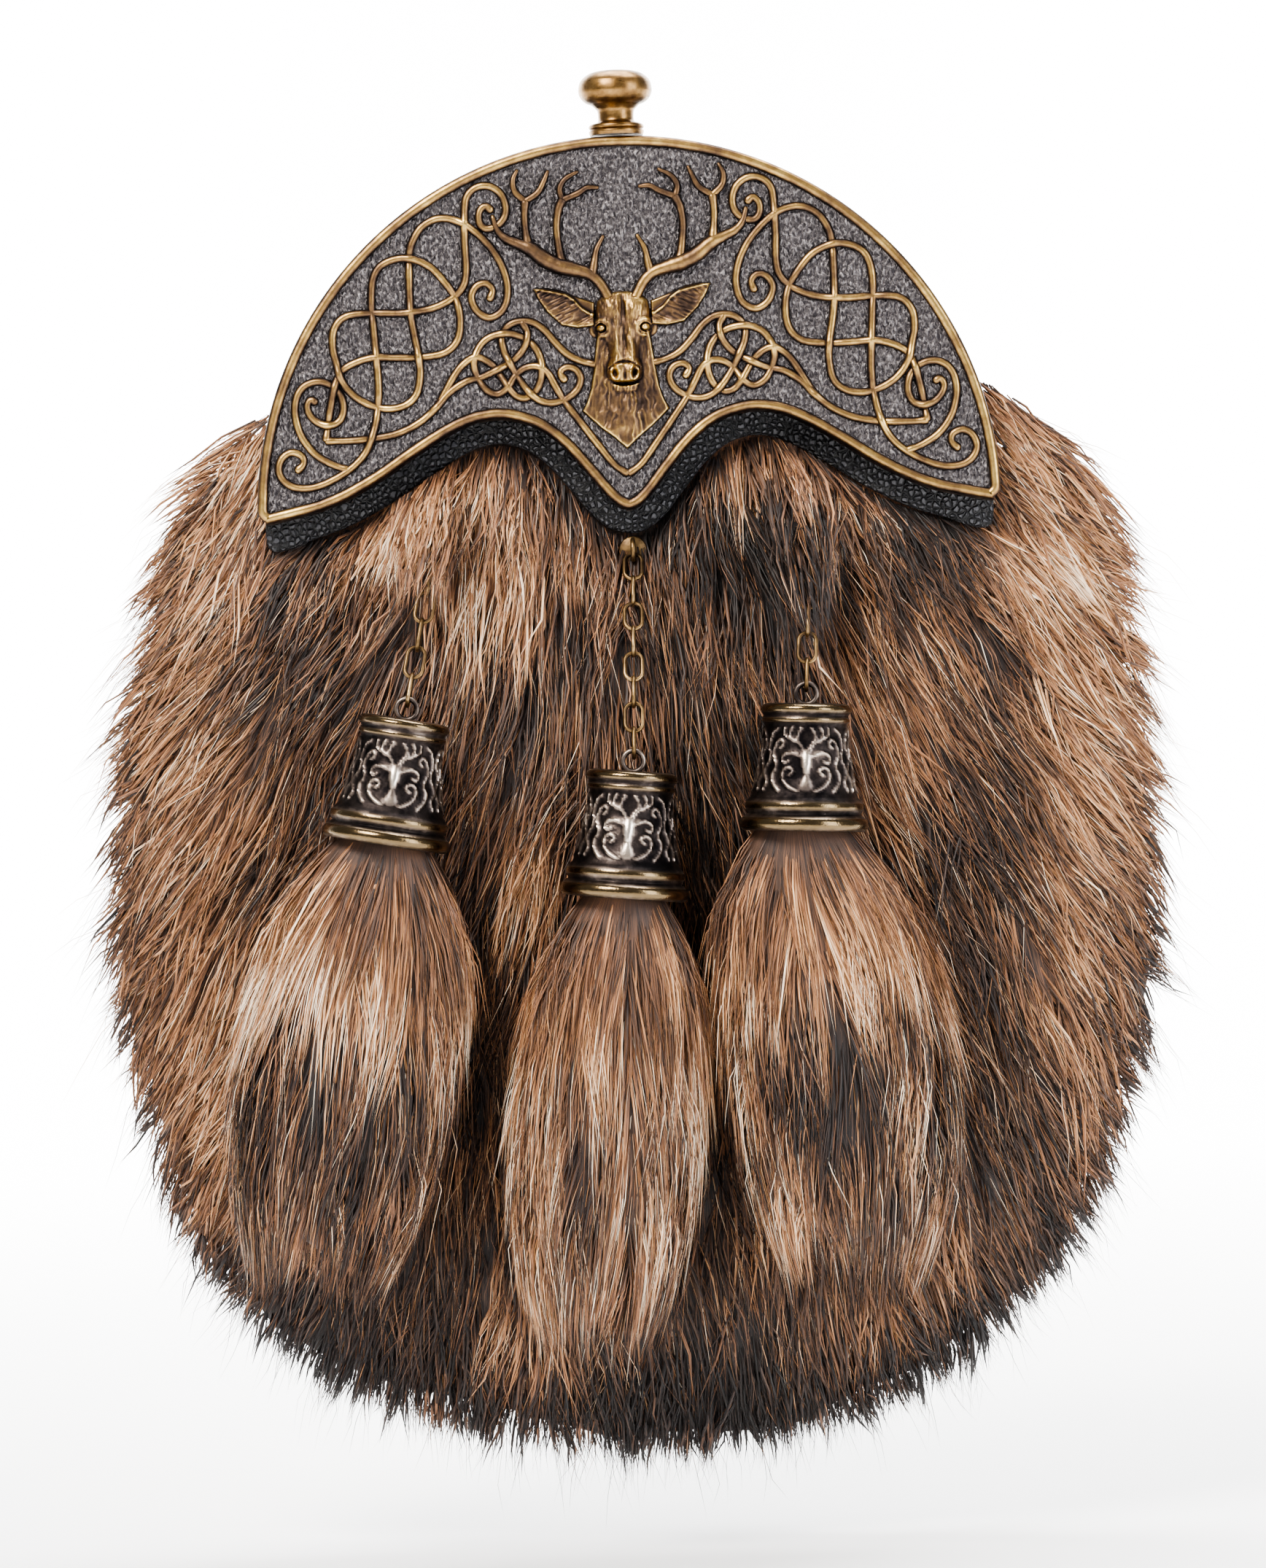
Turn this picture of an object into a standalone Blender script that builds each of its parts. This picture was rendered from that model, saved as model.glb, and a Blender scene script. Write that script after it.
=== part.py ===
"""Dress sporran: a hollow leather pouch with a fur front, a cast cantle plate and three tassels."""
import math

import bmesh
import bpy
import numpy as np
from mathutils import Matrix, Vector

# Driving dimensions, in metres. +Z is up, -Y is the front, and the origin is where the waist strap holds it.

# Cantle, a half round plate whose circle has its centre below the origin
PLATE_RADIUS = 0.0725
PLATE_CENTRE_Z = -0.0365
PLATE_DEPTH = 0.006
PLATE_WALL = 0.0018
CORNER_RADIUS = 0.0028
TIP_RADIUS = 0.003
BEAD_WIDTH = 0.0021
BEAD_RISE = 0.0010
STRAND_RADIUS = 0.00078
STRAND_WEAVE = 0.00028
FACET_TURN = math.radians(66)
FACET_RUN = 0.022
STRETCH = 5
ANTLER_RISE = 0.0004
HEAD_RISE = 0.0030
NECK_RISE = 0.0013
EAR_RISE = 0.0012

# Leather apron behind the cantle
APRON_THICKNESS = 0.002
APRON_SHOW = 0.0045
APRON_EDGE_INSET = 0.0015
APRON_TIP_CUT = 0.0003
APRON_HALF_WIDTH = PLATE_RADIUS - APRON_EDGE_INSET - APRON_TIP_CUT

# Pouch
POUCH_RADIUS = 0.068
POUCH_DROP = 0.1455
POUCH_DEPTH = 0.030
POUCH_BELLY = 0.0035
POUCH_ROUND = 0.004
LEATHER_WALL = 0.002
POUCH_SQUARENESS = 3.0
MOUTH_HALF_ANGLE = math.radians(52.5)

# Fur on the front
FUR_CENTRE_Z = -0.110
FUR_REACH = 0.1205
FUR_SKIN = 0.0017
FUR_LOFT = 0.0105
FUR_LOFT_RUN = 0.030
FUR_TUCK = 0.003
FUR_FLAT_MARGIN = 0.0030
FUR_SIDE_BACK = -0.012
FUR_TIP_Y = -0.020
FUR_RIDGE = 0.0011
FUR_TIP_NOTCH = 0.07
FUR_PLUMB_LEAN = 0.035

# Knob on top of the cantle
KNOB_RADIUS = 0.0072
KNOB_HEIGHT = 0.0073
KNOB_NECK_RADIUS = 0.0036
KNOB_NECK_HEIGHT = 0.0032
KNOB_COLLAR_RADIUS = 0.0054
KNOB_COLLAR_HEIGHT = 0.0023

# Chains
LINK_LENGTH = 0.0065
LINK_WIDTH = 0.0042
WIRE_DIAMETER = 0.00085
LINK_BITE = 0.00055
RING_RADIUS = 0.0025
RING_WIRE = 0.0010
RING_SEAT_RADIUS = 0.0028
RING_SEAT_THICKNESS = 0.0008
RING_BELOW_APRON = 0.0035

# Tassels
CONE_HEIGHT = 0.0245
CONE_TOP_RADIUS = 0.0082
CONE_MOUTH_RADIUS = 0.0122
CONE_WALL = 0.0011
CONE_SIDES = 12
TASSEL_LENGTH = 0.088
TASSEL_HALF_DEPTH = 0.0095
TASSEL_LOCKS = 10
TASSEL_HEAD = 0.0065
TASSEL_RIPPLE = 0.09

# Belt loops on the back
LOOP_WIDTH = 0.016
LOOP_HEIGHT = 0.034
LOOP_GAP = 0.0046
LOOP_OFFSET = 0.029
LOOP_FOOT = 0.0065

CLEARANCE = 0.0003
SOFT_CLEARANCE = 0.0006

# Places that follow from the sizes above
POUCH_FRONT_Y = -POUCH_DEPTH
APRON_BACK_Y = POUCH_FRONT_Y - CLEARANCE - FUR_SKIN - CLEARANCE
APRON_FRONT_Y = APRON_BACK_Y - APRON_THICKNESS
PLATE_BACK_Y = APRON_FRONT_Y - CLEARANCE
PLATE_FACE_Y = PLATE_BACK_Y - PLATE_DEPTH
FUR_SKIN_Y = POUCH_FRONT_Y - CLEARANCE - FUR_SKIN

# The relief was laid out on a plate 510 units in radius that leans 2 degrees to the left.
# right and up are units from the circle's centre; only the left half is listed, the right half mirrors it.
LAYOUT_RADIUS = 510
LAYOUT_LEAN = math.radians(2.0)

# Lower edge of the cantle, right half: columns across and up, as shares of the plate's radius
LOWER_EDGE = [
    (0.868, 0.008), (0.770, 0.042), (0.668, 0.095), (0.580, 0.152), (0.495, 0.204), (0.425, 0.237),
    (0.361, 0.250), (0.308, 0.246), (0.240, 0.222), (0.175, 0.172), (0.110, 0.097), (0.050, 0.024),
]

# Interlaced strands, left half: columns right and up in layout units
STRANDS = {
    "shoulder_knot": [
        (-189, 406), (-198, 413), (-206, 405), (-206, 391), (-198, 382), (-183, 385), (-172, 397),
        (-170, 413), (-177, 430), (-192, 440), (-209, 439), (-222, 428), (-226, 411), (-226, 366),
        (-224, 326), (-228, 303), (-245, 285), (-273, 272), (-313, 266), (-358, 266), (-390, 261),
        (-405, 244), (-407, 220), (-402, 198), (-395, 174), (-378, 153), (-355, 140), (-330, 135),
        (-307, 140), (-292, 155), (-287, 181), (-289, 206), (-295, 236), (-300, 266), (-302, 306),
        (-302, 346), (-296, 368), (-283, 386), (-261, 396), (-235, 392), (-211, 377), (-188, 353),
        (-173, 326), (-167, 298), (-173, 272), (-191, 260), (-209, 269), (-217, 288), (-210, 303),
        (-197, 307), (-188, 298), (-192, 284),
    ],
    "corner_scroll": [
        (-456, 49), (-447, 59), (-449, 70), (-463, 75), (-476, 67), (-481, 51), (-474, 36), (-458, 27),
        (-433, 27), (-405, 38), (-378, 56), (-360, 78), (-350, 106), (-345, 136), (-344, 166),
        (-347, 206), (-351, 246), (-354, 281), (-352, 311), (-342, 330), (-321, 340), (-298, 340),
        (-273, 329), (-253, 308), (-238, 285), (-232, 256), (-236, 229), (-253, 212), (-283, 206),
        (-318, 205), (-351, 205), (-376, 198), (-395, 186), (-404, 166), (-410, 136), (-414, 108),
        (-416, 91),
    ],
    "ground_line": [
        (-416, 91), (-388, 91), (-353, 94), (-318, 101), (-288, 116), (-265, 136), (-248, 156),
        (-225, 172), (-201, 179), (-178, 190), (-156, 204), (-143, 222), (-140, 240), (-148, 255),
    ],
    "leaf_loop": [
        (-429, 143), (-437, 147), (-442, 138), (-437, 125), (-425, 115), (-410, 112), (-397, 119),
        (-392, 136), (-397, 155), (-411, 168), (-429, 172), (-447, 165), (-457, 148), (-458, 124),
        (-449, 96), (-431, 73), (-408, 59), (-385, 51),
    ],
    "centre_knot": [
        (-265, 136), (-252, 159), (-241, 179), (-229, 195), (-214, 205), (-200, 203), (-186, 193),
        (-175, 178), (-165, 163), (-154, 152), (-141, 150), (-128, 160), (-121, 178), (-121, 199),
        (-128, 217), (-141, 230), (-159, 237), (-180, 237), (-198, 229), (-209, 214), (-213, 196),
        (-207, 176), (-196, 161), (-181, 155), (-167, 164), (-157, 180), (-143, 191), (-126, 193),
        (-112, 184), (-102, 167), (-90, 147), (-68, 118), (-43, 86), (-21, 59), (-2, 46),
    ],
    "neck_scroll": [
        (-46, 196), (-65, 200), (-84, 209), (-101, 225), (-116, 242), (-132, 253), (-150, 255),
        (-166, 249), (-175, 235), (-173, 217), (-164, 198), (-154, 180), (-141, 162), (-126, 148),
        (-108, 143), (-88, 148), (-72, 161), (-67, 177), (-74, 189), (-86, 192), (-95, 185), (-88, 173),
    ],
}

# Left antler: columns right and up in layout units, and the bar's radius there
ANTLER = {
    "beam": [
        (-30, 289, 7), (-43, 309, 7), (-57, 320, 7), (-78, 326, 7), (-98, 331, 8), (-118, 341, 7),
        (-136, 354, 7), (-155, 362, 5), (-171, 369, 5), (-182, 381, 4), (-188, 399, 3),
    ],
    "brow_tine": [(-51, 320, 6), (-48, 338, 5), (-45, 354, 4), (-36, 372, 2.5)],
    "second_tine": [(-92, 332, 6), (-96, 351, 5), (-100, 381, 4.5), (-98, 406, 5), (-92, 421, 6)],
    "second_inner_point": [(-92, 421, 5), (-71, 430, 4.5), (-58, 438, 4), (-43, 438, 2.5)],
    "second_outer_point": [(-92, 421, 5), (-96, 436, 4.5), (-88, 450, 4), (-71, 460, 2.5)],
    "third_tine": [(-139, 356, 6), (-142, 376, 5), (-144, 398, 4.5), (-143, 419, 6)],
    "third_inner_point": [(-143, 419, 5), (-126, 431, 4.5), (-118, 446, 4), (-112, 461, 2.5)],
    "third_outer_point": [(-143, 419, 5), (-157, 432, 4.5), (-160, 448, 4), (-154, 462, 2.5)],
}

# Stag, from the top down: columns up and half width in layout units, and share of the rise
HEAD_ROWS = [
    (292, 16, 0.45), (280, 26, 0.70), (262, 32, 0.85), (245, 36, 0.90), (222, 26, 0.92),
    (200, 21, 1.00), (184, 25, 1.00), (172, 24, 0.85), (158, 14, 0.50),
]
NECK_ROWS = [
    (240, 36, 0.7), (215, 43, 1.0), (180, 46, 1.0), (150, 52, 1.0), (134, 58, 0.9),
    (118, 44, 0.9), (100, 22, 0.8), (84, 5, 0.4),
]
# Left ear, from its root to its tip: columns right and up of the middle line, and half width
EAR_ROWS = [(-49, 262, 6), (-66, 266, 19), (-88, 274, 20), (-108, 284, 12), (-127, 297, 3)]

# Outer ends of the fur on the right: columns turn in degrees from straight up, and share of FUR_REACH
FUR_OUTLINE = [
    (38.9, 0.965), (46.5, 1.000), (54.5, 0.999), (65.2, 0.950), (74.7, 0.940), (89.0, 0.917),
    (103.4, 0.933), (113.3, 0.944), (125.7, 0.981), (138.4, 0.999), (149.4, 1.000), (162.9, 1.000),
    (180.0, 0.999),
]

# Tassels: columns x of the chain's ring, cone eye x, cone eye z, the cone's lean in degrees,
# half width of the hair, and how far its middle sways to the right
TASSELS = {
    "left": (-0.0353, -0.0442, -0.0745, 11.0, 0.0208, 0.000),
    "centre": (0.0004, -0.0010, -0.0860, 6.0, 0.0180, 0.000),
    "right": (0.0357, 0.0327, -0.0742, 3.0, 0.0218, 0.0112),
}
CONE_EYE_Y = -0.0565
CHAIN_BOW = 0.0015

# Cone's outer side from the top down: columns share of height and share between top and mouth radius
CONE_PROFILE = [
    (0.00, -0.10), (0.05, 0.06), (0.10, -0.08), (0.15, 0.06), (0.45, 0.18), (0.72, 0.45),
    (0.82, 0.88), (0.89, 0.76), (0.94, 1.00), (1.00, 1.00),
]

# Tassel below its head: columns share of length, of half width, of half depth, and of ripple
TASSEL_ROWS = [
    (0.10, 0.82, 1.00, 0.4), (0.26, 0.98, 1.00, 0.8), (0.48, 1.00, 0.95, 1.0), (0.70, 0.80, 0.80, 1.1),
    (0.89, 0.42, 0.50, 1.0),
]


def clear_scene():
    for obj in list(bpy.data.objects):
        bpy.data.objects.remove(obj, do_unlink=True)


def make_collection(name):
    collection = bpy.data.collections.new(name)
    bpy.context.scene.collection.children.link(collection)
    return collection


def make_material(name, colour, roughness, metallic):
    material = bpy.data.materials.new(name)
    material.use_nodes = True
    shader = material.node_tree.nodes["Principled BSDF"]
    shader.inputs["Base Color"].default_value = (*colour, 1.0)
    shader.inputs["Roughness"].default_value = roughness
    shader.inputs["Metallic"].default_value = metallic
    return material


def add_mesh(name, bm, material, collection, recalculate=True):
    """Turn a bmesh into a named object with its faces pointing out."""
    if recalculate:
        bmesh.ops.recalc_face_normals(bm, faces=bm.faces)
    mesh = bpy.data.meshes.new(name)
    bm.to_mesh(mesh)
    bm.free()
    obj = bpy.data.objects.new(name, mesh)
    collection.objects.link(obj)
    mesh.materials.append(material)
    mesh.shade_smooth()
    mesh.set_sharp_from_angle(angle=math.radians(35))
    return obj


def grid_faces(bm, rows, closed=True):
    """Join rows of vertices, each row the same length, with quads."""
    count = len(rows[0])
    last = count if closed else count - 1
    for upper, lower in zip(rows, rows[1:]):
        for i in range(last):
            j = (i + 1) % count
            bm.faces.new((upper[i], upper[j], lower[j], lower[i]))


def smooth_route(points, facet_turn, longest):
    """A Catmull-Rom curve through the points, with a new facet wherever it has turned or run far enough."""
    points = np.array(points, dtype=float)
    padded = np.vstack([2 * points[0] - points[1], points, 2 * points[-1] - points[-2]])
    t = np.linspace(0, 1, 6, endpoint=False)[:, None]
    pieces = []
    for i in range(1, len(padded) - 2):
        a, b, c, d = padded[i - 1:i + 3]
        pieces.append(0.5 * (2 * b + (c - a) * t + (2 * a - 5 * b + 4 * c - d) * t ** 2
                             + (3 * b - a - 3 * c + d) * t ** 3))
    dense = np.vstack(pieces + [points[-1:]])
    steps = np.diff(dense[:, :2], axis=0)
    heading = np.unwrap(np.arctan2(steps[:, 1], steps[:, 0]))
    run = np.concatenate([[0], np.cumsum(np.linalg.norm(steps, axis=1))])
    turned = np.concatenate([[0], np.cumsum(np.abs(np.diff(heading))), [0]])
    turned[-1] = turned[-2]
    progress = turned / facet_turn + run / longest
    count = max(3, round(progress[-1]) + 1)
    targets = np.linspace(0, progress[-1], count)
    return np.column_stack([np.interp(targets, progress, dense[:, k]) for k in range(dense.shape[1])])


def on_plate(right, up, side=-1):
    """Plate coordinates x, z of a layout point, on the left for side -1 and mirrored for side 1."""
    scale = PLATE_RADIUS / LAYOUT_RADIUS
    x = right * math.cos(LAYOUT_LEAN) + up * math.sin(LAYOUT_LEAN)
    z = up * math.cos(LAYOUT_LEAN) - right * math.sin(LAYOUT_LEAN)
    return -side * x * scale, PLATE_CENTRE_Z + z * scale


def lower_edge():
    """Plate's lower edge from right to left, as x, z points, with a rounded tip."""
    right = [(a * PLATE_RADIUS, PLATE_CENTRE_Z + u * PLATE_RADIUS) for a, u in LOWER_EDGE]
    tip = (0.0, right[-1][1] - TIP_RADIUS * 0.7)
    return right + [tip] + [(-x, z) for x, z in reversed(right)]


def plate_outline():
    """Closed outline of the plate: the big arc, two rounded corners and the lower edge."""
    edge = lower_edge()
    start = math.asin(0.03)
    angles = np.linspace(start, math.pi - start, 19)
    arc = [(PLATE_RADIUS * math.cos(a), PLATE_CENTRE_Z + PLATE_RADIUS * math.sin(a)) for a in angles]
    corner = (PLATE_RADIUS - CORNER_RADIUS, PLATE_CENTRE_Z + CORNER_RADIUS)
    turn = np.linspace(math.radians(-80), math.radians(-20), 3)
    right = [(corner[0] + CORNER_RADIUS * math.cos(a), corner[1] + CORNER_RADIUS * math.sin(a) - CORNER_RADIUS * 0.3)
             for a in turn]
    left = [(-x, z) for x, z in reversed(right)]
    return np.array(right + arc + left + edge[::-1])


def inset(outline, distance):
    """Move a closed anticlockwise outline inwards by a distance, along its corner normals."""
    before = outline - np.roll(outline, 1, axis=0)
    after = np.roll(outline, -1, axis=0) - outline
    before /= np.linalg.norm(before, axis=1)[:, None]
    after /= np.linalg.norm(after, axis=1)[:, None]
    normal_a = np.column_stack([-before[:, 1], before[:, 0]])
    normal_b = np.column_stack([-after[:, 1], after[:, 0]])
    middle = normal_a + normal_b
    middle /= np.linalg.norm(middle, axis=1)[:, None]
    stretch = 1 / np.maximum(0.5, (middle * normal_a).sum(axis=1))
    return outline + middle * (distance * stretch)[:, None]


def plate_blank(material, collection):
    """The plate before its relief: a shallow tray, open at the back, with a bead round its rim."""
    outline = plate_outline()
    bead = BEAD_WIDTH
    front = [
        (0.0, PLATE_BACK_Y), (0.0, PLATE_FACE_Y), (bead * 0.3, PLATE_FACE_Y - BEAD_RISE),
        (bead * 0.7, PLATE_FACE_Y - BEAD_RISE), (bead, PLATE_FACE_Y),
    ]
    back = [(PLATE_WALL, PLATE_FACE_Y + PLATE_WALL), (PLATE_WALL, PLATE_BACK_Y)]
    bm = bmesh.new()
    rings = [[bm.verts.new((x, y, z)) for x, z in inset(outline, d)] for d, y in back + front]
    grid_faces(bm, rings)
    bm.faces.new(rings[0])
    bm.faces.new(rings[-1])
    return add_mesh("cantle", bm, material, collection)


def bar(name, points, radii, collection, material):
    """A ridged moulding along points on the plate: a triangle whose base is buried in the plate."""
    along = np.gradient(points[:, [0, 2]], axis=0)
    along /= np.linalg.norm(along, axis=1)[:, None]
    across = np.column_stack([-along[:, 1], np.zeros(len(along)), along[:, 0]])
    radii = np.asarray(radii)[:, None]
    down = np.array([0.0, 1.0, 0.0])
    buried = points + down * radii * 0.45
    corners = [buried - across * radii * 1.15, points - down * radii, buried + across * radii * 1.15]
    bm = bmesh.new()
    rings = [[bm.verts.new(corner[i]) for corner in corners] for i in range(len(points))]
    grid_faces(bm, rings)
    bm.faces.new(rings[0])
    bm.faces.new(rings[-1])
    return add_mesh(name, bm, material, collection)


def boolean(target, other, operation, solver="EXACT"):
    """Join or cut target with other, keep the result in target's mesh and drop other."""
    modifier = target.modifiers.new(operation.lower(), "BOOLEAN")
    modifier.operation = operation
    modifier.solver = solver
    modifier.object = other
    bpy.context.view_layer.update()
    depsgraph = bpy.context.evaluated_depsgraph_get()
    mesh = bpy.data.meshes.new_from_object(target.evaluated_get(depsgraph))
    target.modifiers.remove(modifier)
    old = target.data
    target.data = mesh
    bpy.data.meshes.remove(old)
    bpy.data.objects.remove(other, do_unlink=True)


def crossings(routes):
    """Where strands cross, as (strand, position) pairs in order of meeting; positions count points."""
    found = []
    for a in range(len(routes)):
        for b in range(a, len(routes)):
            p, q = routes[a], routes[b]
            d1, d2 = np.diff(p, axis=0)[:, None], np.diff(q, axis=0)[None]
            gap = q[None, :-1] - p[:-1, None]
            cross = d1[..., 0] * d2[..., 1] - d1[..., 1] * d2[..., 0]
            cross[np.abs(cross) < 1e-15] = np.inf
            s = (gap[..., 0] * d2[..., 1] - gap[..., 1] * d2[..., 0]) / cross
            t = (gap[..., 0] * d1[..., 1] - gap[..., 1] * d1[..., 0]) / cross
            for i, j in np.argwhere((s > 0) & (s < 1) & (t > 0) & (t < 1)):
                if a != b or j > i + 2:
                    found.append((a, i + s[i, j], b, j + t[i, j]))
    return found


def weave_lifts(routes):
    """Heights that pass each strand over and under the others in turn."""
    lifts = [np.zeros(len(route)) for route in routes]
    marks = [[] for _ in routes]
    for number, (a, s, b, t) in enumerate(crossings(routes)):
        marks[a].append((s, number))
        marks[b].append((t, number))
    over = {}
    for strand, mark in enumerate(marks):
        state = 1
        for position, number in sorted(mark):
            if number in over:
                state = 1 if over[number] == strand else -1
            elif state > 0:
                over[number] = strand
            reach = np.abs(np.arange(len(lifts[strand])) - position)
            lifts[strand] += state * np.clip(1.6 - reach, 0, 1)
            state = -state
    return lifts


def cantle(collection, material):
    """The plate with its relief. A strand is joined in short stretches, so that none crosses itself."""
    plate = plate_blank(material, collection)
    flat = []
    for points in STRANDS.values():
        places = [on_plate(right, up) for right, up in points]
        flat.append(smooth_route(places, FACET_TURN, FACET_RUN))
    lifts = weave_lifts(flat)
    relief = []
    for side in (1, -1):
        for number, (route, lift) in enumerate(zip(flat, lifts)):
            y = PLATE_FACE_Y - 0.15 * STRAND_RADIUS - lift * STRAND_WEAVE - number * STRAND_WEAVE * 0.1
            points = np.column_stack([side * route[:, 0], y, route[:, 1]])
            for start in range(0, len(points) - 1, STRETCH):
                stretch = points[start:start + STRETCH + 1]
                relief.append(bar("strand", stretch, np.full(len(stretch), STRAND_RADIUS), collection, material))
        for points in ANTLER.values():
            scale = PLATE_RADIUS / LAYOUT_RADIUS
            places = [(*on_plate(right, up), radius * scale) for right, up, radius in points]
            places = smooth_route(places, FACET_TURN, FACET_RUN)
            y = np.full(len(places), PLATE_FACE_Y - ANTLER_RISE)
            places[:, 0] *= side
            path = np.column_stack([places[:, 0], y, places[:, 1]])
            relief.append(bar("tine", path, places[:, 2], collection, material))
        relief.append(ear(side, collection, material))
    relief.append(relief_loft("neck", NECK_ROWS, NECK_RISE, collection, material))
    relief.append(relief_loft("head", HEAD_ROWS, HEAD_RISE, collection, material))
    for piece in relief:
        boolean(plate, piece, "UNION", "MANIFOLD")
    return plate


def relief_loft(name, rows, rise, collection, material):
    """A rounded relief lofted through rows of half ellipses, with a buried flat back."""
    scale = PLATE_RADIUS / LAYOUT_RADIUS
    buried = PLATE_FACE_Y + PLATE_WALL * 0.5
    angles = np.linspace(0, math.pi, 6)
    bm = bmesh.new()
    rings = []
    for up, half_width, share in rows:
        z = PLATE_CENTRE_Z + up * scale
        ring = [(half_width * scale * math.cos(a), PLATE_FACE_Y - rise * share * math.sin(a), z) for a in angles]
        ring += [(-half_width * scale, buried, z), (half_width * scale, buried, z)]
        rings.append([bm.verts.new(place) for place in ring])
    grid_faces(bm, rings)
    bm.faces.new(rings[0])
    bm.faces.new(rings[-1])
    return add_mesh(name, bm, material, collection)


def ear(side, collection, material):
    """A leaf-shaped ear: rows across its length, ridged along the upper edge."""
    scale = PLATE_RADIUS / LAYOUT_RADIUS
    buried = PLATE_FACE_Y + PLATE_WALL * 0.5
    bm = bmesh.new()
    rings = []
    for right, up, half_width in EAR_ROWS:
        section = [(1.0, 0.3), (0.45, 1.0), (-0.3, 0.6), (-1.0, 0.25)]
        ring = []
        for share, height in section:
            x, z = on_plate(right, up + share * half_width)
            ring.append((side * x, PLATE_FACE_Y - EAR_RISE * height, z))
        ring.append((ring[3][0], buried, ring[3][2]))
        ring.append((ring[0][0], buried, ring[0][2]))
        rings.append([bm.verts.new(place) for place in ring])
    grid_faces(bm, rings)
    bm.faces.new(rings[0])
    bm.faces.new(rings[-1])
    return add_mesh("ear", bm, material, collection)


def flat_plate(name, outline, back_y, front_y, collection, material):
    """A closed outline in x and z given a thickness along y."""
    bm = bmesh.new()
    rings = [[bm.verts.new((x, y, z)) for x, z in outline] for y in (back_y, front_y)]
    grid_faces(bm, rings)
    bm.faces.new(rings[0])
    bm.faces.new(rings[-1])
    return add_mesh(name, bm, material, collection)


def apron_edge():
    """Lower edge of the apron from right to left, parallel to the plate's lower edge."""
    edge = np.array(lower_edge())
    slope = np.gradient(edge, axis=0)
    slope /= np.linalg.norm(slope, axis=1)[:, None]
    below = edge + np.column_stack([-slope[:, 1], slope[:, 0]]) * APRON_SHOW
    inside = np.abs(below[:, 0]) < APRON_HALF_WIDTH - 0.002
    below = below[inside]
    end = (APRON_HALF_WIDTH, PLATE_CENTRE_Z - APRON_SHOW * 1.25)
    return np.vstack([end, below, (-end[0], end[1])])


def leather_apron(collection, material):
    radius = PLATE_RADIUS - APRON_EDGE_INSET
    start = math.acos(APRON_HALF_WIDTH / radius)
    angles = np.linspace(start, math.pi - start, 19)
    arc = np.column_stack([radius * np.cos(angles), PLATE_CENTRE_Z + radius * np.sin(angles)])
    outline = np.vstack([arc, apron_edge()[::-1]])
    return flat_plate("leather_apron", outline, APRON_BACK_Y, APRON_FRONT_Y, collection, material)


def pouch_outline():
    """Right half of the pouch's edge from straight up to straight down, and each point's turn."""
    upper = np.radians([0, 10, 20, 30, 41, 52.5, 65, 77.5, 90])
    lower = np.linspace(0, math.pi / 2, 8)[1:]
    power = 2 / POUCH_SQUARENESS
    x = np.concatenate([POUCH_RADIUS * np.sin(upper), POUCH_RADIUS * np.cos(lower) ** power])
    z = np.concatenate([POUCH_RADIUS * np.cos(upper), -POUCH_DROP * np.sin(lower) ** power])
    turn = np.concatenate([upper, math.pi / 2 + lower])
    x[[0, -1]] = 0
    return np.column_stack([x, PLATE_CENTRE_Z + z]), turn


def belly(x, z):
    """How far the pouch's front bulges at a place."""
    middle = PLATE_CENTRE_Z - POUCH_DROP * 0.55
    share = (x / POUCH_RADIUS) ** 2 + ((z - middle) / (POUCH_DROP * 0.47)) ** 2
    return POUCH_BELLY * np.maximum(0, 1 - share)


def pouch(collection, material):
    """A gusseted bag: front, sides and back as one open sheet of leather with a wall's thickness."""
    half, turn = pouch_outline()
    outline = np.vstack([half, (half * [-1, 1])[-2:0:-1]])
    turns = np.concatenate([turn, turn[-2:0:-1]])
    centre = np.array([0.0, PLATE_CENTRE_Z - POUCH_DROP * 0.3])
    bm = bmesh.new()

    def ring(share, y):
        places = centre + (outline - centre) * share
        bulge = belly(places[:, 0], places[:, 1]) if y < POUCH_FRONT_Y * 0.99 else np.zeros(len(places))
        return [bm.verts.new((x, y - b, z)) for (x, z), b in zip(places, bulge)]

    edge_share = 1 - POUCH_ROUND * 0.45 / POUCH_RADIUS
    front = [ring(0.45, POUCH_FRONT_Y), ring(0.8, POUCH_FRONT_Y), ring(edge_share, POUCH_FRONT_Y)]
    side_front = ring(1.0, POUCH_FRONT_Y + POUCH_ROUND * 0.5)
    side_back = ring(1.0, -POUCH_ROUND * 0.5)
    back = [ring(edge_share, 0.0), ring(0.5, 0.0)]
    grid_faces(bm, front + [side_front])
    grid_faces(bm, [side_back] + back)
    count = len(outline)
    for i in range(count):
        j = (i + 1) % count
        if min(turns[i], turns[j]) > MOUTH_HALF_ANGLE - 0.01:
            bm.faces.new((side_front[i], side_front[j], side_back[j], side_back[i]))
    bm.faces.new(front[0])
    bm.faces.new(back[-1])
    bmesh.ops.triangulate(bm, faces=[f for f in bm.faces if len(f.verts) > 4])
    obj = add_mesh("pouch", bm, material, collection)
    wall = obj.modifiers.new("wall", "SOLIDIFY")
    wall.thickness = LEATHER_WALL
    wall.offset = -1
    wall.use_even_offset = True
    return obj


def edge_height(edge, x):
    """Height of the apron's lower edge at x; the edge runs from right to left."""
    return np.interp(x, edge[::-1, 0], edge[::-1, 1])


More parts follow.
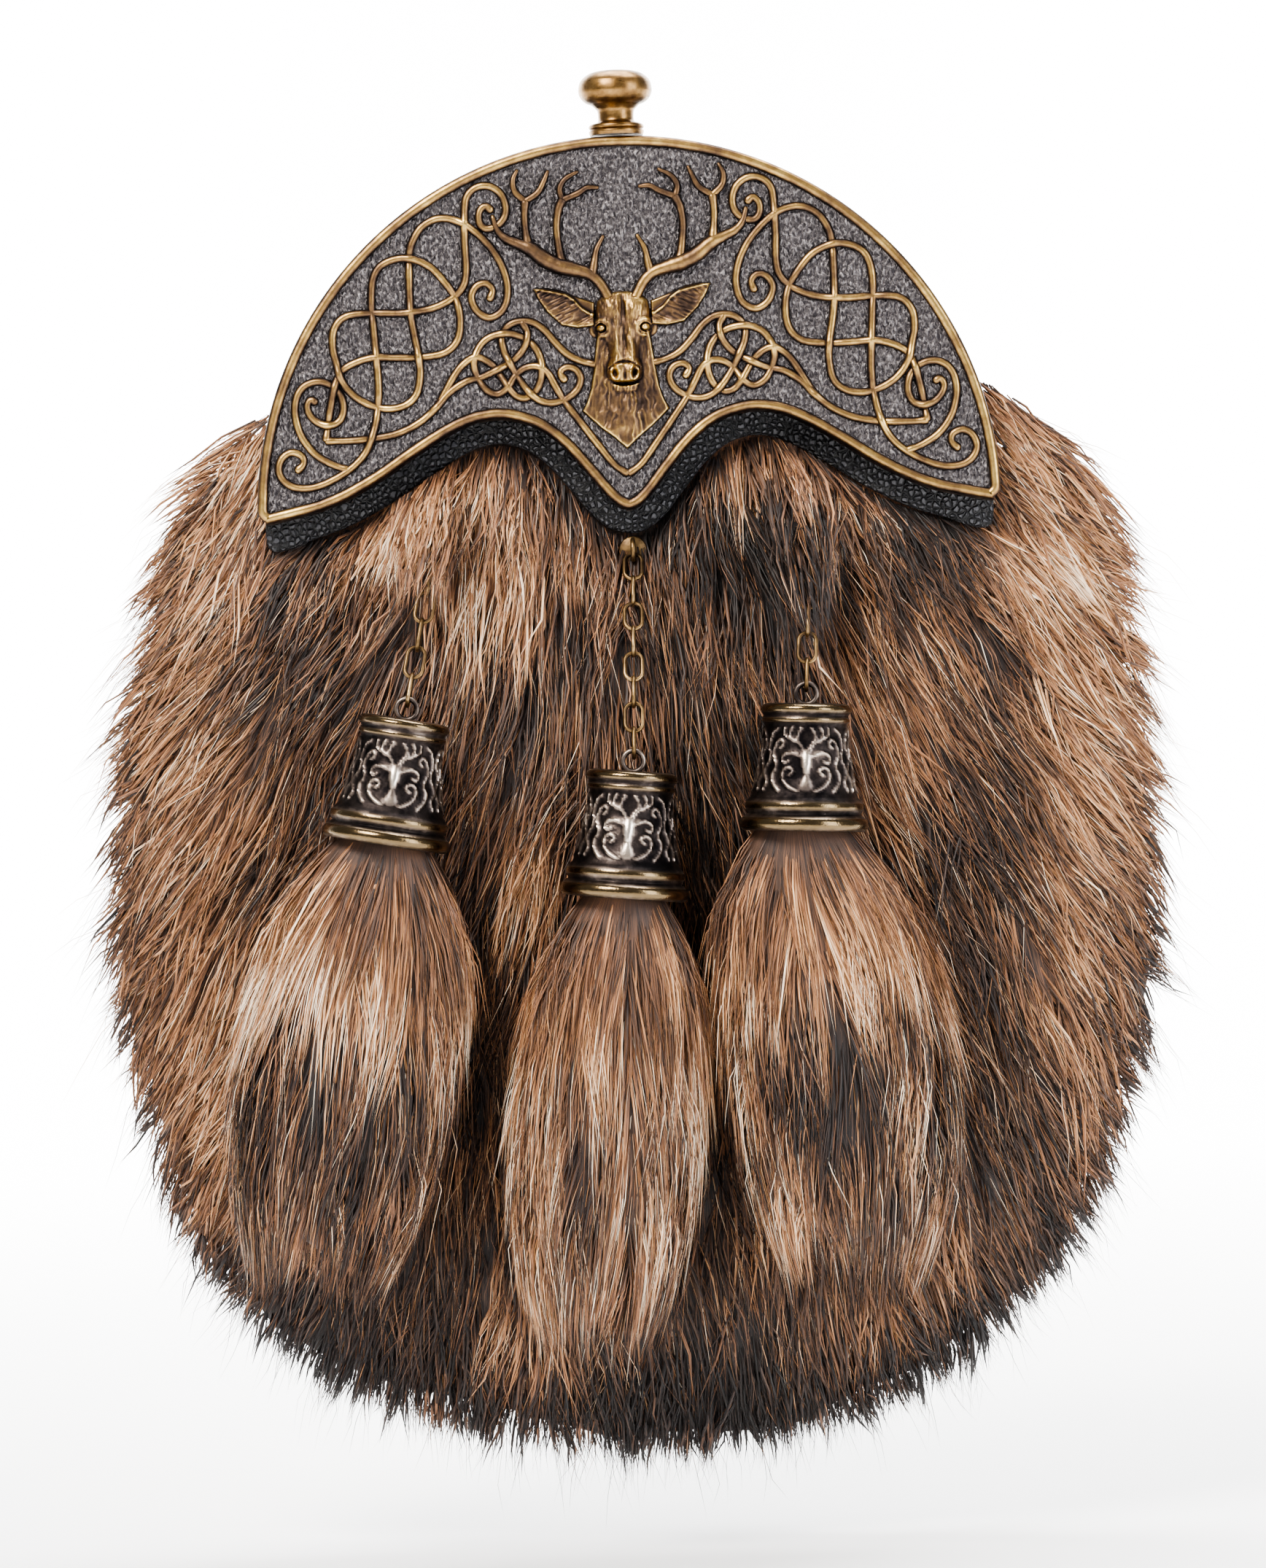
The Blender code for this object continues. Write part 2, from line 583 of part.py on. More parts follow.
def fur_boundary(edge):
    """Outline of the fur seen from the front, clockwise from the left end of the tucked top edge.

    Returns the points, and for each how free it is: 0 where it is tucked under the apron, 1 at the hair tips.
    """
    top = edge[::-1][2:-2] + [0, FUR_TUCK]
    table = np.array(FUR_OUTLINE)
    turns = np.linspace(table[0, 0], 180, 19)
    reach = np.interp(turns, table[:, 0], table[:, 1]) * FUR_REACH
    notch = np.where(np.arange(len(turns)) % 2 == 1, 1 - FUR_TIP_NOTCH, 1.0)
    angle = np.radians(turns)
    right = np.column_stack([reach * notch * np.sin(angle), FUR_CENTRE_Z + reach * notch * np.cos(angle)])
    left = (right * [-1, 1])[-2::-1]
    tips = np.vstack([right, left])
    tips[:, 0] -= FUR_PLUMB_LEAN * (PLATE_CENTRE_Z - tips[:, 1])
    ends = np.minimum(turns - turns[0], 24) / 24
    free = np.concatenate([np.zeros(len(top)), ends, ends[-2::-1]])
    return np.vstack([top, tips]), free


def pouch_reach(direction):
    """Distance from the fur's centre to the pouch's edge along each direction."""
    half, _ = pouch_outline()
    outline = np.vstack([half, (half * [-1, 1])[-2:0:-1], half[:1]]) - [0, FUR_CENTRE_Z]
    turn = np.unwrap(np.arctan2(outline[:, 0], outline[:, 1]))
    wanted = np.arctan2(direction[:, 0], direction[:, 1]) % (2 * math.pi)
    return np.interp(wanted, turn, np.linalg.norm(outline, axis=1))


def fur_back_y(x, z):
    """Where the back of the fur lies against the pouch."""
    return POUCH_FRONT_Y - belly(x, z) - SOFT_CLEARANCE


def fur_surface_y(x, z, edge, ridge):
    """Front of the fur: a bare skin under the apron, and hair that rises out from below its edge."""
    below = np.maximum(0, edge_height(edge, x) - z - FUR_FLAT_MARGIN)
    side = np.maximum(0, np.abs(x) - PLATE_RADIUS - FUR_FLAT_MARGIN * 2) / 2
    loft = np.sin(np.clip(np.maximum(below, side) / FUR_LOFT_RUN, 0, 1) * math.pi / 2)
    skin = np.where(loft > 0, np.minimum(FUR_SKIN_Y, fur_back_y(x, z) - FUR_SKIN * 0.6), FUR_SKIN_Y)
    return skin - (FUR_LOFT - FUR_SKIN) * loft - ridge * FUR_RIDGE * loft


def apron_crossing(centre, spokes, edge):
    """Share of each spoke at which it passes under the apron's lower edge, or 0.9 where it doesn't."""
    shares = np.linspace(0.5, 1.0, 201)
    x = centre[0] + spokes[:, :1] * shares
    z = centre[1] + spokes[:, 1:] * shares
    under = (z > edge_height(edge, x) - FUR_FLAT_MARGIN * 0.7) & (np.abs(x) < APRON_HALF_WIDTH)
    return np.where(under.any(axis=1), shares[under.argmax(axis=1)], 0.9)


def fur_front(collection, material):
    """Skin and long hair as one body: a front in ridged locks, and a back that fits the pouch."""
    edge = apron_edge()
    boundary, free = fur_boundary(edge)
    centre = np.array([0.0, FUR_CENTRE_Z])
    spokes = boundary - centre
    length = np.linalg.norm(spokes, axis=1)
    direction = spokes / length[:, None]
    ridge = np.where(np.arange(len(boundary)) % 2 == 0, 1.0, -1.0)
    bm = bmesh.new()

    def back_of(places):
        return fur_back_y(places[:, 0], places[:, 1])

    def front_ring(share):
        places = centre + spokes * share[:, None]
        y = fur_surface_y(places[:, 0], places[:, 1], edge, ridge * share)
        tip_y = FUR_SKIN_Y + (FUR_TIP_Y - FUR_SKIN_Y) * free
        fade = share ** 5 * np.minimum(1, free * 3)
        y = y * (1 - fade) + tip_y * fade
        return [bm.verts.new((x, depth, z)) for (x, z), depth in zip(places, y)]

    pouch_share = np.minimum(1, (pouch_reach(direction) + SOFT_CLEARANCE * 2.5) / length)
    outside = pouch_share < 1

    def back_ring(share, y):
        places = centre + spokes * share[:, None]
        return [bm.verts.new((x, depth, z)) for (x, z), depth in zip(places, y)]

    crossing = apron_crossing(centre, spokes, edge)
    fronts = [front_ring(crossing * share) for share in (0.4, 0.75, 1.0)]
    fronts += [front_ring((crossing + 1) / 2), front_ring(np.ones(len(spokes)))]
    inner = back_of(centre + spokes * 0.4)
    rim = back_of(centre + spokes * pouch_share[:, None])
    behind = np.where(outside, rim + (FUR_SIDE_BACK - rim) * free, rim)
    half_out = (pouch_share + 1) / 2
    backs = [
        back_ring(half_out, np.where(outside, behind * 0.6 + (rim + (FUR_TIP_Y - rim) * free) * 0.4, rim)),
        back_ring(pouch_share, behind),
        back_ring(pouch_share, rim),
        back_ring(pouch_share * 0.75, fur_back_y(*(centre + spokes * pouch_share[:, None] * 0.75).T)),
        back_ring(np.full(len(spokes), 0.4), inner),
        back_ring(np.full(len(spokes), 0.15), fur_back_y(*(centre + spokes * 0.15).T)),
    ]
    grid_faces(bm, fronts + backs)
    bm.faces.new(fronts[0])
    bm.faces.new(backs[-1])
    bmesh.ops.remove_doubles(bm, verts=bm.verts, dist=1e-6)
    bmesh.ops.dissolve_degenerate(bm, edges=bm.edges, dist=1e-7)
    bmesh.ops.triangulate(bm, faces=[f for f in bm.faces if len(f.verts) > 4])
    return add_mesh("fur_front", bm, material, collection)


def turned(name, profile, steps, collection, material):
    """A closed profile of radius, height pairs turned about Z; it starts and ends on the axis."""
    bm = bmesh.new()
    rings = []
    for radius, height in profile[1:-1]:
        angles = [2 * math.pi * i / steps for i in range(steps)]
        rings.append([bm.verts.new((radius * math.cos(a), radius * math.sin(a), height)) for a in angles])
    grid_faces(bm, rings)
    for ring, (_, height) in ((rings[0], profile[0]), (rings[-1], profile[-1])):
        pole = bm.verts.new((0, 0, height))
        for i in range(steps):
            bm.faces.new((pole, ring[i], ring[(i + 1) % steps]))
    return add_mesh(name, bm, material, collection)


def knob(collection, material):
    base = PLATE_CENTRE_Z + PLATE_RADIUS + CLEARANCE
    collar_top = base + KNOB_COLLAR_HEIGHT
    neck_top = collar_top + KNOB_NECK_HEIGHT
    top = neck_top + KNOB_HEIGHT
    r, h = KNOB_RADIUS, KNOB_HEIGHT
    profile = [
        (0, top), (r * 0.45, top - h * 0.04), (r * 0.8, top - h * 0.2), (r * 0.98, top - h * 0.45),
        (r, top - h * 0.62), (r * 0.9, top - h * 0.85), (KNOB_NECK_RADIUS * 1.1, neck_top),
        (KNOB_NECK_RADIUS, (neck_top + collar_top) / 2), (KNOB_NECK_RADIUS * 1.15, collar_top),
        (KNOB_COLLAR_RADIUS * 0.9, collar_top), (KNOB_COLLAR_RADIUS, (collar_top + base) / 2),
        (KNOB_COLLAR_RADIUS * 0.95, base), (0, base),
    ]
    obj = turned("knob", profile, 14, collection, material)
    obj.location = (0, (PLATE_BACK_Y + PLATE_FACE_Y) / 2, 0)
    return obj


def torus(name, radius, wire, length, segments, sides, collection, material):
    """A ring or long link in the XZ plane: wire round a stadium path, length overall along Z."""
    straight = max(0.0, length / 2 - radius)
    bm = bmesh.new()
    rings = []
    for i in range(segments):
        a = 2 * math.pi * (i + 0.5) / segments
        outward = Vector((math.sin(a), 0, math.cos(a)))
        middle = outward * (radius - wire / 2) + Vector((0, 0, math.copysign(straight, math.cos(a))))
        ring = []
        for k in range(sides):
            b = 2 * math.pi * k / sides
            ring.append(bm.verts.new(middle + (outward * math.cos(b) + Vector((0, math.sin(b), 0))) * wire / 2))
        rings.append(ring)
    grid_faces(bm, rings + [rings[0]])
    return add_mesh(name, bm, material, collection)


def chain_ring(name, x, seat_z, edge, collection, material):
    """A ring that stands on a small seat against the fur's skin; the first link hangs in it."""
    seat_y = ring_seat_y(x, seat_z, edge)
    bpy.ops.mesh.primitive_cylinder_add(
        vertices=12, radius=RING_SEAT_RADIUS, depth=RING_SEAT_THICKNESS, rotation=(math.pi / 2, 0, 0),
        location=(x, seat_y - RING_SEAT_THICKNESS / 2, seat_z))
    obj = take_active(name, collection, material)
    ring = torus("ring", RING_RADIUS, RING_WIRE, RING_RADIUS * 2, 10, 5, collection, material)
    turn = Matrix.Rotation(math.pi / 2, 4, "Z")
    ring.data.transform(Matrix.Translation(ring_centre(x, seat_z, edge)) @ turn)
    boolean(obj, ring, "UNION")
    return obj


def ring_seat_y(x, z, edge):
    """Back of a chain ring's seat, clear of the hair under its lowest point."""
    return float(fur_surface_y(x, z - RING_SEAT_RADIUS, edge, 1.0)) - CLEARANCE


def ring_centre(x, z, edge):
    return Vector((x, ring_seat_y(x, z, edge) - RING_SEAT_THICKNESS - RING_RADIUS + RING_WIRE * 0.8, z))


def take_active(name, collection, material):
    """Name the object that a primitive call has just made, and bake its place into its mesh."""
    obj = bpy.context.object
    for old in list(obj.users_collection):
        old.objects.unlink(obj)
    collection.objects.link(obj)
    bpy.context.view_layer.update()
    obj.data.transform(obj.matrix_world)
    obj.matrix_world = Matrix.Identity(4)
    obj.name = name
    obj.data.name = name
    obj.data.materials.append(material)
    return obj


def chain(name, top, bottom, collection, material):
    """Links between the ring's wire at top and the eye's wire at bottom, each a quarter turn from the last."""
    top, bottom = Vector(top), Vector(bottom)
    run = bottom - top
    bite = 2 * WIRE_DIAMETER - LINK_BITE
    hook = -(WIRE_DIAMETER + RING_WIRE / 2 + CLEARANCE)
    whole = run.length - 2 * hook
    gaps = 2 * round(((whole - LINK_LENGTH) / (LINK_LENGTH - bite) - 1) / 2) + 1
    length = (whole + gaps * bite) / (gaps + 1)
    first = top + run.normalized() * (hook + length / 2)
    last = bottom - run.normalized() * (hook + length / 2)
    links = []
    for i in range(gaps + 1):
        share = i / gaps
        links.append(first.lerp(last, share) + Vector((0, -CHAIN_BOW * math.sin(share * math.pi), 0)))
    result = None
    for i, place in enumerate(links):
        before, after = links[max(0, i - 1)], links[min(gaps, i + 1)]
        along = (before - after).normalized()
        turn = Vector((0, 0, 1)).rotation_difference(along).to_matrix().to_4x4()
        spin = Matrix.Rotation(math.pi / 2 * (i % 2), 4, "Z")
        link = torus(name, LINK_WIDTH / 2, WIRE_DIAMETER, length, 10, 5, collection, material)
        link.data.transform(Matrix.Translation(place) @ turn @ spin)
        if result is None:
            result = link
        else:
            boolean(result, link, "UNION")
    result.name = name
    return result


def cone_frame(eye_x, eye_z, lean):
    """Matrix that hangs a tassel from its eye: origin at the cone's top, -Z along the tassel."""
    tilt = Matrix.Rotation(math.radians(lean), 4, "Y")
    eye = Matrix.Translation((eye_x, CONE_EYE_Y, eye_z))
    return eye @ tilt @ Matrix.Translation((0, 0, -RING_RADIUS + RING_WIRE * 0.6))


def cone_profile_outer():
    spread = CONE_MOUTH_RADIUS - CONE_TOP_RADIUS
    return [(CONE_TOP_RADIUS + spread * flare, -CONE_HEIGHT * drop) for drop, flare in CONE_PROFILE]


def tassel_cone(name, frame, collection, material):
    """A cast bell, open below, with an eye on its top."""
    outer = cone_profile_outer()
    inner = [(CONE_MOUTH_RADIUS - CONE_WALL, -CONE_HEIGHT), (cone_inner_radius(0.45), -CONE_HEIGHT * 0.45),
             (cone_inner_radius(0.15), -CONE_HEIGHT * 0.08)]
    profile = [(0, 0)] + outer + inner + [(0, -CONE_HEIGHT * 0.08)]
    obj = turned(name, profile, CONE_SIDES, collection, material)
    eye = torus("eye", RING_RADIUS, RING_WIRE, RING_RADIUS * 2, 10, 5, collection, material)
    eye.data.transform(Matrix.Translation((0, 0, RING_RADIUS - RING_WIRE * 0.6)))
    boolean(obj, eye, "UNION")
    obj.data.transform(frame)
    return obj


def cone_inner_radius(share):
    """Radius of the bell's hollow at a share of its height."""
    spread = CONE_MOUTH_RADIUS - CONE_TOP_RADIUS
    drops, flares = zip(*[row for row in CONE_PROFILE if row[0] in (0.00, 0.10, 0.45, 0.72, 1.00)])
    return CONE_TOP_RADIUS + spread * float(np.interp(share, drops, flares)) - CONE_WALL


def tassel_fur(name, frame, half_width, sway, collection, material):
    """Hair in locks: rippled sections below a round head that fits up inside the bell."""
    count = TASSEL_LOCKS * 2
    angles = [2 * math.pi * i / count for i in range(count)]
    mouth = -CONE_HEIGHT
    bm = bmesh.new()
    rings = []
    for rise in (TASSEL_HEAD, 0.0):
        radius = cone_inner_radius(1 - rise / CONE_HEIGHT) * math.cos(math.pi / CONE_SIDES) - CLEARANCE
        rings.append([bm.verts.new((radius * math.cos(a), radius * math.sin(a), mouth + rise)) for a in angles])
    for drop, width, depth, ripple in TASSEL_ROWS:
        shift = sway * math.sin(drop * math.pi / 2)
        ring = []
        for i, a in enumerate(angles):
            lock = 1 if i % 2 == 0 else -1
            wave = 1 + TASSEL_RIPPLE * lock * ripple
            z = mouth - TASSEL_LENGTH * (drop + 0.015 * (1 + lock) * ripple)
            x = half_width * width * wave * math.cos(a) + shift
            ring.append(bm.verts.new((x, TASSEL_HALF_DEPTH * depth * wave * math.sin(a), z)))
        rings.append(ring)
    grid_faces(bm, rings)
    bm.faces.new(rings[0])
    tip = bm.verts.new((sway, 0, mouth - TASSEL_LENGTH * 0.97))
    for i in range(count):
        bm.faces.new((tip, rings[-1][i], rings[-1][(i + 1) % count]))
    obj = add_mesh(name, bm, material, collection)
    obj.data.transform(frame)
    return obj


def strap_loop(name, x, collection, material):
    """A leather strip with two feet on the pouch's back and a raised middle for the waist strap."""
    half = LOOP_HEIGHT / 2
    near = CLEARANCE
    far = LOOP_GAP
    path = [
        (near, -half), (near, -half + LOOP_FOOT), (far, -half + LOOP_FOOT + LOOP_GAP * 0.45),
        (far, half - LOOP_FOOT - LOOP_GAP * 0.45), (near, half - LOOP_FOOT), (near, half),
    ]
    bm = bmesh.new()
    rows = [[bm.verts.new((x + across, y, z)) for across in (LOOP_WIDTH / 2, -LOOP_WIDTH / 2)] for y, z in path]
    grid_faces(bm, rows, closed=False)
    obj = add_mesh(name, bm, material, collection, recalculate=False)
    wall = obj.modifiers.new("wall", "SOLIDIFY")
    wall.thickness = LEATHER_WALL
    wall.offset = 1
    wall.use_even_offset = True
    return obj


def main():
    clear_scene()
    parts = make_collection("sporran_pouch")
    leather = (0.020, 0.021, 0.026)
    pewter = make_material("cantle_metal", (0.20, 0.17, 0.13), 0.38, 1.0)
    brass = make_material("brass", (0.38, 0.24, 0.10), 0.30, 1.0)
    chain_metal = make_material("chain_metal", (0.30, 0.24, 0.16), 0.35, 1.0)
    cone_metal = make_material("cone_metal", (0.24, 0.19, 0.14), 0.38, 1.0)
    hair = make_material("hair", (0.27, 0.15, 0.08), 0.65, 0.0)
    tassel_hair = make_material("tassel_hair", (0.22, 0.13, 0.08), 0.65, 0.0)

    pouch(parts, make_material("pouch_leather", leather, 0.55, 0.0))
    fur_front(parts, hair)
    leather_apron(parts, make_material("apron_leather", leather, 0.45, 0.0))
    cantle(parts, pewter)
    knob(parts, brass)
    edge = apron_edge()
    for side, (ring_x, eye_x, eye_z, lean, half_width, sway) in TASSELS.items():
        ring_z = float(edge_height(edge, ring_x)) - RING_BELOW_APRON
        chain_ring("chain_ring_" + side, ring_x, ring_z, edge, parts, chain_metal)
        frame = cone_frame(eye_x, eye_z, lean)
        tassel_cone("tassel_cone_" + side, frame, parts, cone_metal)
        wire_offset = RING_RADIUS - RING_WIRE / 2
        bottom = frame @ Vector((0, 0, RING_RADIUS - RING_WIRE * 0.6 + wire_offset))
        centre = ring_centre(ring_x, ring_z, edge)
        top = centre + (bottom - centre).normalized() * wire_offset
        chain("chain_" + side, top, bottom, parts, chain_metal)
        tassel_fur("tassel_fur_" + side, frame, half_width, sway, parts, tassel_hair)
    for side, x in (("left", -LOOP_OFFSET), ("right", LOOP_OFFSET)):
        strap_loop("strap_loop_" + side, x, parts, make_material("loop_leather_" + side, leather, 0.5, 0.0))


main()
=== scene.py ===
# Dress sporran: long fur, an antiqued cast plate and three hair tassels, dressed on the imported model.
# Lengths are in millimetres up to the stage, which is in metres; addMesh turns millimetres to metres.
import math

import bmesh
import bpy
import numpy as np
from mathutils import Matrix, Vector


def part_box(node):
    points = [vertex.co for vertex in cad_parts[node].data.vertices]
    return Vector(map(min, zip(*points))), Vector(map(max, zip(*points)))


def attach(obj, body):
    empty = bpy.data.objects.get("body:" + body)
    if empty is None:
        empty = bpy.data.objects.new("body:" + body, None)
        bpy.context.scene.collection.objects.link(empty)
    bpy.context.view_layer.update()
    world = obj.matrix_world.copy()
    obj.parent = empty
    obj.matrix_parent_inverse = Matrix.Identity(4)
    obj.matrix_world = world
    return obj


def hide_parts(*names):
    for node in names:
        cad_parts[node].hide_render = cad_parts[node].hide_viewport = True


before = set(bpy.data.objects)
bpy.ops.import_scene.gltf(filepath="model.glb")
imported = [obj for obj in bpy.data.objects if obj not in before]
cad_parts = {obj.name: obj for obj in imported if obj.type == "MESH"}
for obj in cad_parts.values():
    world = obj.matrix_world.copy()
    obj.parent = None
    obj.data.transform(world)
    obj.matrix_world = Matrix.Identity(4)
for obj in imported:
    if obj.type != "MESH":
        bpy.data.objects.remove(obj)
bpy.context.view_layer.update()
print("frame loaded")

millimetre = 0.001
sharpAngle = math.radians(60)


def linearColour(hexValue):
    # sRGB to linear: v / 12.92 up to 0.04045, and ((v + 0.055) / 1.055) to the power 2.4 above it
    values = [int(hexValue[i:i + 2], 16) / 255 for i in (1, 3, 5)]
    return [v / 12.92 if v <= 0.04045 else ((v + 0.055) / 1.055) ** 2.4 for v in values] + [1.0]


def addNode(tree, kind, settings=None, links=None):
    # one node, with its sockets or properties set by name or number, and its inputs linked
    node = tree.nodes.new("ShaderNode" + kind)
    for key, value in (settings or {}).items():
        if key == "stops":
            while len(node.color_ramp.elements) < len(value):
                node.color_ramp.elements.new(0.5)
            for element, (position, colour) in zip(node.color_ramp.elements, value):
                element.position, element.color = position, linearColour(colour)
        elif isinstance(key, int) or key in node.inputs:
            node.inputs[key].default_value = value
        else:
            setattr(node, key, value)
    for key, source in (links or {}).items():
        tree.links.new(source, node.inputs[key])
    return node


def newMaterial(name):
    # a node material, its tree and its Principled shader
    material = bpy.data.materials.new(name)
    material.use_nodes = True
    return material, material.node_tree, material.node_tree.nodes["Principled BSDF"]


def linkShader(tree, shader, colour, rough, normal):
    # joins what a material works out to its shader; None leaves an input as it is
    for key, source in (("Base Color", colour), ("Roughness", rough), ("Normal", normal)):
        if source is not None:
            tree.links.new(source, shader.inputs[key])


def addMesh(name, points, quads, tris, material, attributes=None, turnOut=False):
    # points in millimetres become vertices in metres; faces are whole index arrays
    points = np.asarray(points, float).reshape(-1, 3) * millimetre
    quads = np.asarray(quads, np.int32).reshape(-1, 4)
    tris = np.asarray(tris, np.int32).reshape(-1, 3)
    mesh = bpy.data.meshes.new(name)
    mesh.vertices.add(len(points))
    mesh.vertices.foreach_set("co", points.ravel())
    corners = np.concatenate([quads.ravel(), tris.ravel()])
    starts = np.concatenate([np.arange(len(quads)) * 4, len(quads) * 4 + np.arange(len(tris)) * 3])
    mesh.loops.add(len(corners))
    mesh.loops.foreach_set("vertex_index", corners)
    mesh.polygons.add(len(starts))
    mesh.polygons.foreach_set("loop_start", starts.astype(np.int32))
    mesh.update(calc_edges=True)
    mesh.validate()
    for key, values in (attributes or {}).items():
        values = np.asarray(values, np.float32).ravel()
        if len(values) == len(points):
            mesh.attributes.new(key, "FLOAT", "POINT").data.foreach_set("value", values)
        else:
            mesh.attributes.new(key, "FLOAT_VECTOR", "POINT").data.foreach_set("vector", values)
    if turnOut:
        bm = bmesh.new()
        bm.from_mesh(mesh)
        bmesh.ops.recalc_face_normals(bm, faces=bm.faces)
        bm.to_mesh(mesh)
        bm.free()
    mesh.shade_smooth()
    mesh.set_sharp_from_angle(angle=sharpAngle)
    piece = bpy.data.objects.new(name, mesh)
    bpy.context.scene.collection.objects.link(piece)
    mesh.materials.append(material)
    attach(piece, "root")
    return piece


def gridQuads(rows, columns, closeRows=False, closeColumns=False, first=0):
    # indices of the quads of a grid that is stored row by row
    i = np.arange(rows if closeRows else rows - 1)[:, None]
    j = np.arange(columns if closeColumns else columns - 1)[None]
    a = i * columns + j
    b = i * columns + (j + 1) % columns
    c = (i + 1) % rows * columns + (j + 1) % columns
    d = (i + 1) % rows * columns + j
    return first + np.stack([a, b, c, d], -1).reshape(-1, 4)


def fanTris(ring, pole):
    # triangles from a ring of indices to one pole
    ring = np.asarray(ring)
    return np.column_stack([ring, np.roll(ring, -1), np.full(len(ring), pole)])


def endFans(sides, count):
    # fans that close the first and last ring of a grid of count points, to the two poles after them
    first = fanTris(np.arange(sides)[::-1], count)
    last = fanTris(np.arange(count - sides, count), count + 1)
    return np.vstack([first, last])


def joined(parts):
    # several (points, quads, tris, values) put into one, with their indices moved on
    points, quads, tris, values, count = [], [], [], [], 0
    for p, q, t, v in parts:
        points.append(np.reshape(p, (-1, 3)))
        quads.append(np.reshape(q, (-1, 4)).astype(int) + count)
        tris.append(np.reshape(t, (-1, 3)).astype(int) + count)
        values.append(np.reshape(v, (len(points[-1]), -1)))
        count += len(points[-1])
    return np.vstack(points), np.vstack(quads), np.vstack(tris), np.vstack(values)


def evenCurve(points, step, closed=False):
    # Catmull-Rom curve through the points, read off again at equal steps along its length
    points = np.asarray(points, float)
    if closed:
        ends = (points[-1:], points[:2])
    else:
        ends = (2 * points[:1] - points[1:2], 2 * points[-1:] - points[-2:-1])
    padded = np.vstack([ends[0], points, ends[1]])
    a, b, c, d = padded[:-3], padded[1:-2], padded[2:-1], padded[3:]
    t = np.linspace(0, 1, 12, endpoint=False)[None, :, None]
    a, b, c, d = a[:, None], b[:, None], c[:, None], d[:, None]
    dense = 0.5 * (2 * b + (c - a) * t + (2 * a - 5 * b + 4 * c - d) * t ** 2
                   + (3 * b - a - 3 * c + d) * t ** 3)
    dense = np.vstack([dense.reshape(-1, points.shape[1]), points[:1] if closed else points[-1:]])
    run = np.concatenate([[0], np.cumsum(np.linalg.norm(np.diff(dense[:, :2], axis=0), axis=1))])
    count = max(4, int(round(run[-1] / step)) + 1)
    wanted = np.linspace(0, run[-1], count)
    even = np.column_stack([np.interp(wanted, run, dense[:, k]) for k in range(dense.shape[1])])
    return even[:-1] if closed else even


def smoothNoise(u, v, seed):
    # value noise: random lattice values blended with the smoothstep of the place between them, from -1 to 1
    table = np.random.default_rng(seed).uniform(-1, 1, (64, 64))
    i, j = np.floor(u).astype(int), np.floor(v).astype(int)
    s, t = u - i, v - j
    s, t = s * s * (3 - 2 * s), t * t * (3 - 2 * t)
    a, b = table[i % 64, j % 64], table[(i + 1) % 64, j % 64]
    c, d = table[i % 64, (j + 1) % 64], table[(i + 1) % 64, (j + 1) % 64]
    return (a * (1 - s) + b * s) * (1 - t) + (c * (1 - s) + d * s) * t


def smoothStep(value, low, high):
    # 0 below low, 1 above high, and a smooth rise between them
    share = np.clip((value - low) / (high - low), 0, 1)
    return share * share * (3 - 2 * share)


def antiqueCasting(name, stops, polish="#6E5530"):
    # a casting with a black-brown patina, rubbed back: dark in the hollows, bright metal on what sticks out;
    # the attribute that drives it also carries painted shade on the sides of the mouldings, at the strands'
    # crossings and in the relief's hollows
    material, tree, shader = newMaterial(name)
    place = addNode(tree, "TexCoord")
    # attribute from 0 dark to 1 bright: worn metal and patina, with painted shade mixed in
    rubbed = addNode(tree, "Attribute", {"attribute_name": "rubbed"})
    # turned beads on the casting are polished: another colour, and smooth
    polished = addNode(tree, "Attribute", {"attribute_name": "polished"})
    # blotches of patina about 2.5 mm across
    blotch = addNode(tree, "TexNoise", {"Scale": 400.0, "Detail": 4.0, "Roughness": 0.6},
                     {"Vector": place.outputs["Object"]})
    # casting skin: a grain of about 0.4 mm, a little coarser than the real one so that it shows
    skin = addNode(tree, "TexNoise", {"Scale": 2600.0, "Detail": 2.0}, {"Vector": place.outputs["Object"]})
    shift = addNode(tree, "MapRange", {1: 0.3, 2: 0.7, 3: -0.15, 4: 0.15}, {0: blotch.outputs["Fac"]})
    # and broad ones of about 11 mm, where hands have rubbed it more or less
    broad = addNode(tree, "TexNoise", {"Scale": 90.0, "Detail": 1.0}, {"Vector": place.outputs["Object"]})
    drift = addNode(tree, "MapRange", {1: 0.35, 2: 0.65, 3: -0.13, 4: 0.13}, {0: broad.outputs["Fac"]})
    both = addNode(tree, "Math", {"operation": "ADD"}, {0: shift.outputs[0], 1: drift.outputs[0]})
    patinaWearAndShade = addNode(tree, "Math", {"operation": "ADD", "use_clamp": True},
                   {0: rubbed.outputs["Fac"], 1: both.outputs[0]})
    ramp = addNode(tree, "ValToRGB", {"stops": stops}, {0: patinaWearAndShade.outputs[0]})
    gloss = addNode(tree, "MapRange", {1: 0.0, 2: 1.0, 3: 0.55, 4: 0.28}, {0: patinaWearAndShade.outputs[0]})
    colour = addNode(tree, "Mix", {"data_type": "RGBA", 7: linearColour(polish)},
                     {0: polished.outputs["Fac"], 6: ramp.outputs["Color"]})
    rough = addNode(tree, "Mix", {3: 0.2}, {0: polished.outputs["Fac"], 2: gloss.outputs[0]})
    bump = addNode(tree, "Bump", {"Strength": 0.3, "Distance": 0.00012}, {"Height": skin.outputs["Fac"]})
    shader.inputs["Metallic"].default_value = 1.0
    linkShader(tree, shader, colour.outputs[2], rough.outputs[0], bump.outputs[0])
    return material


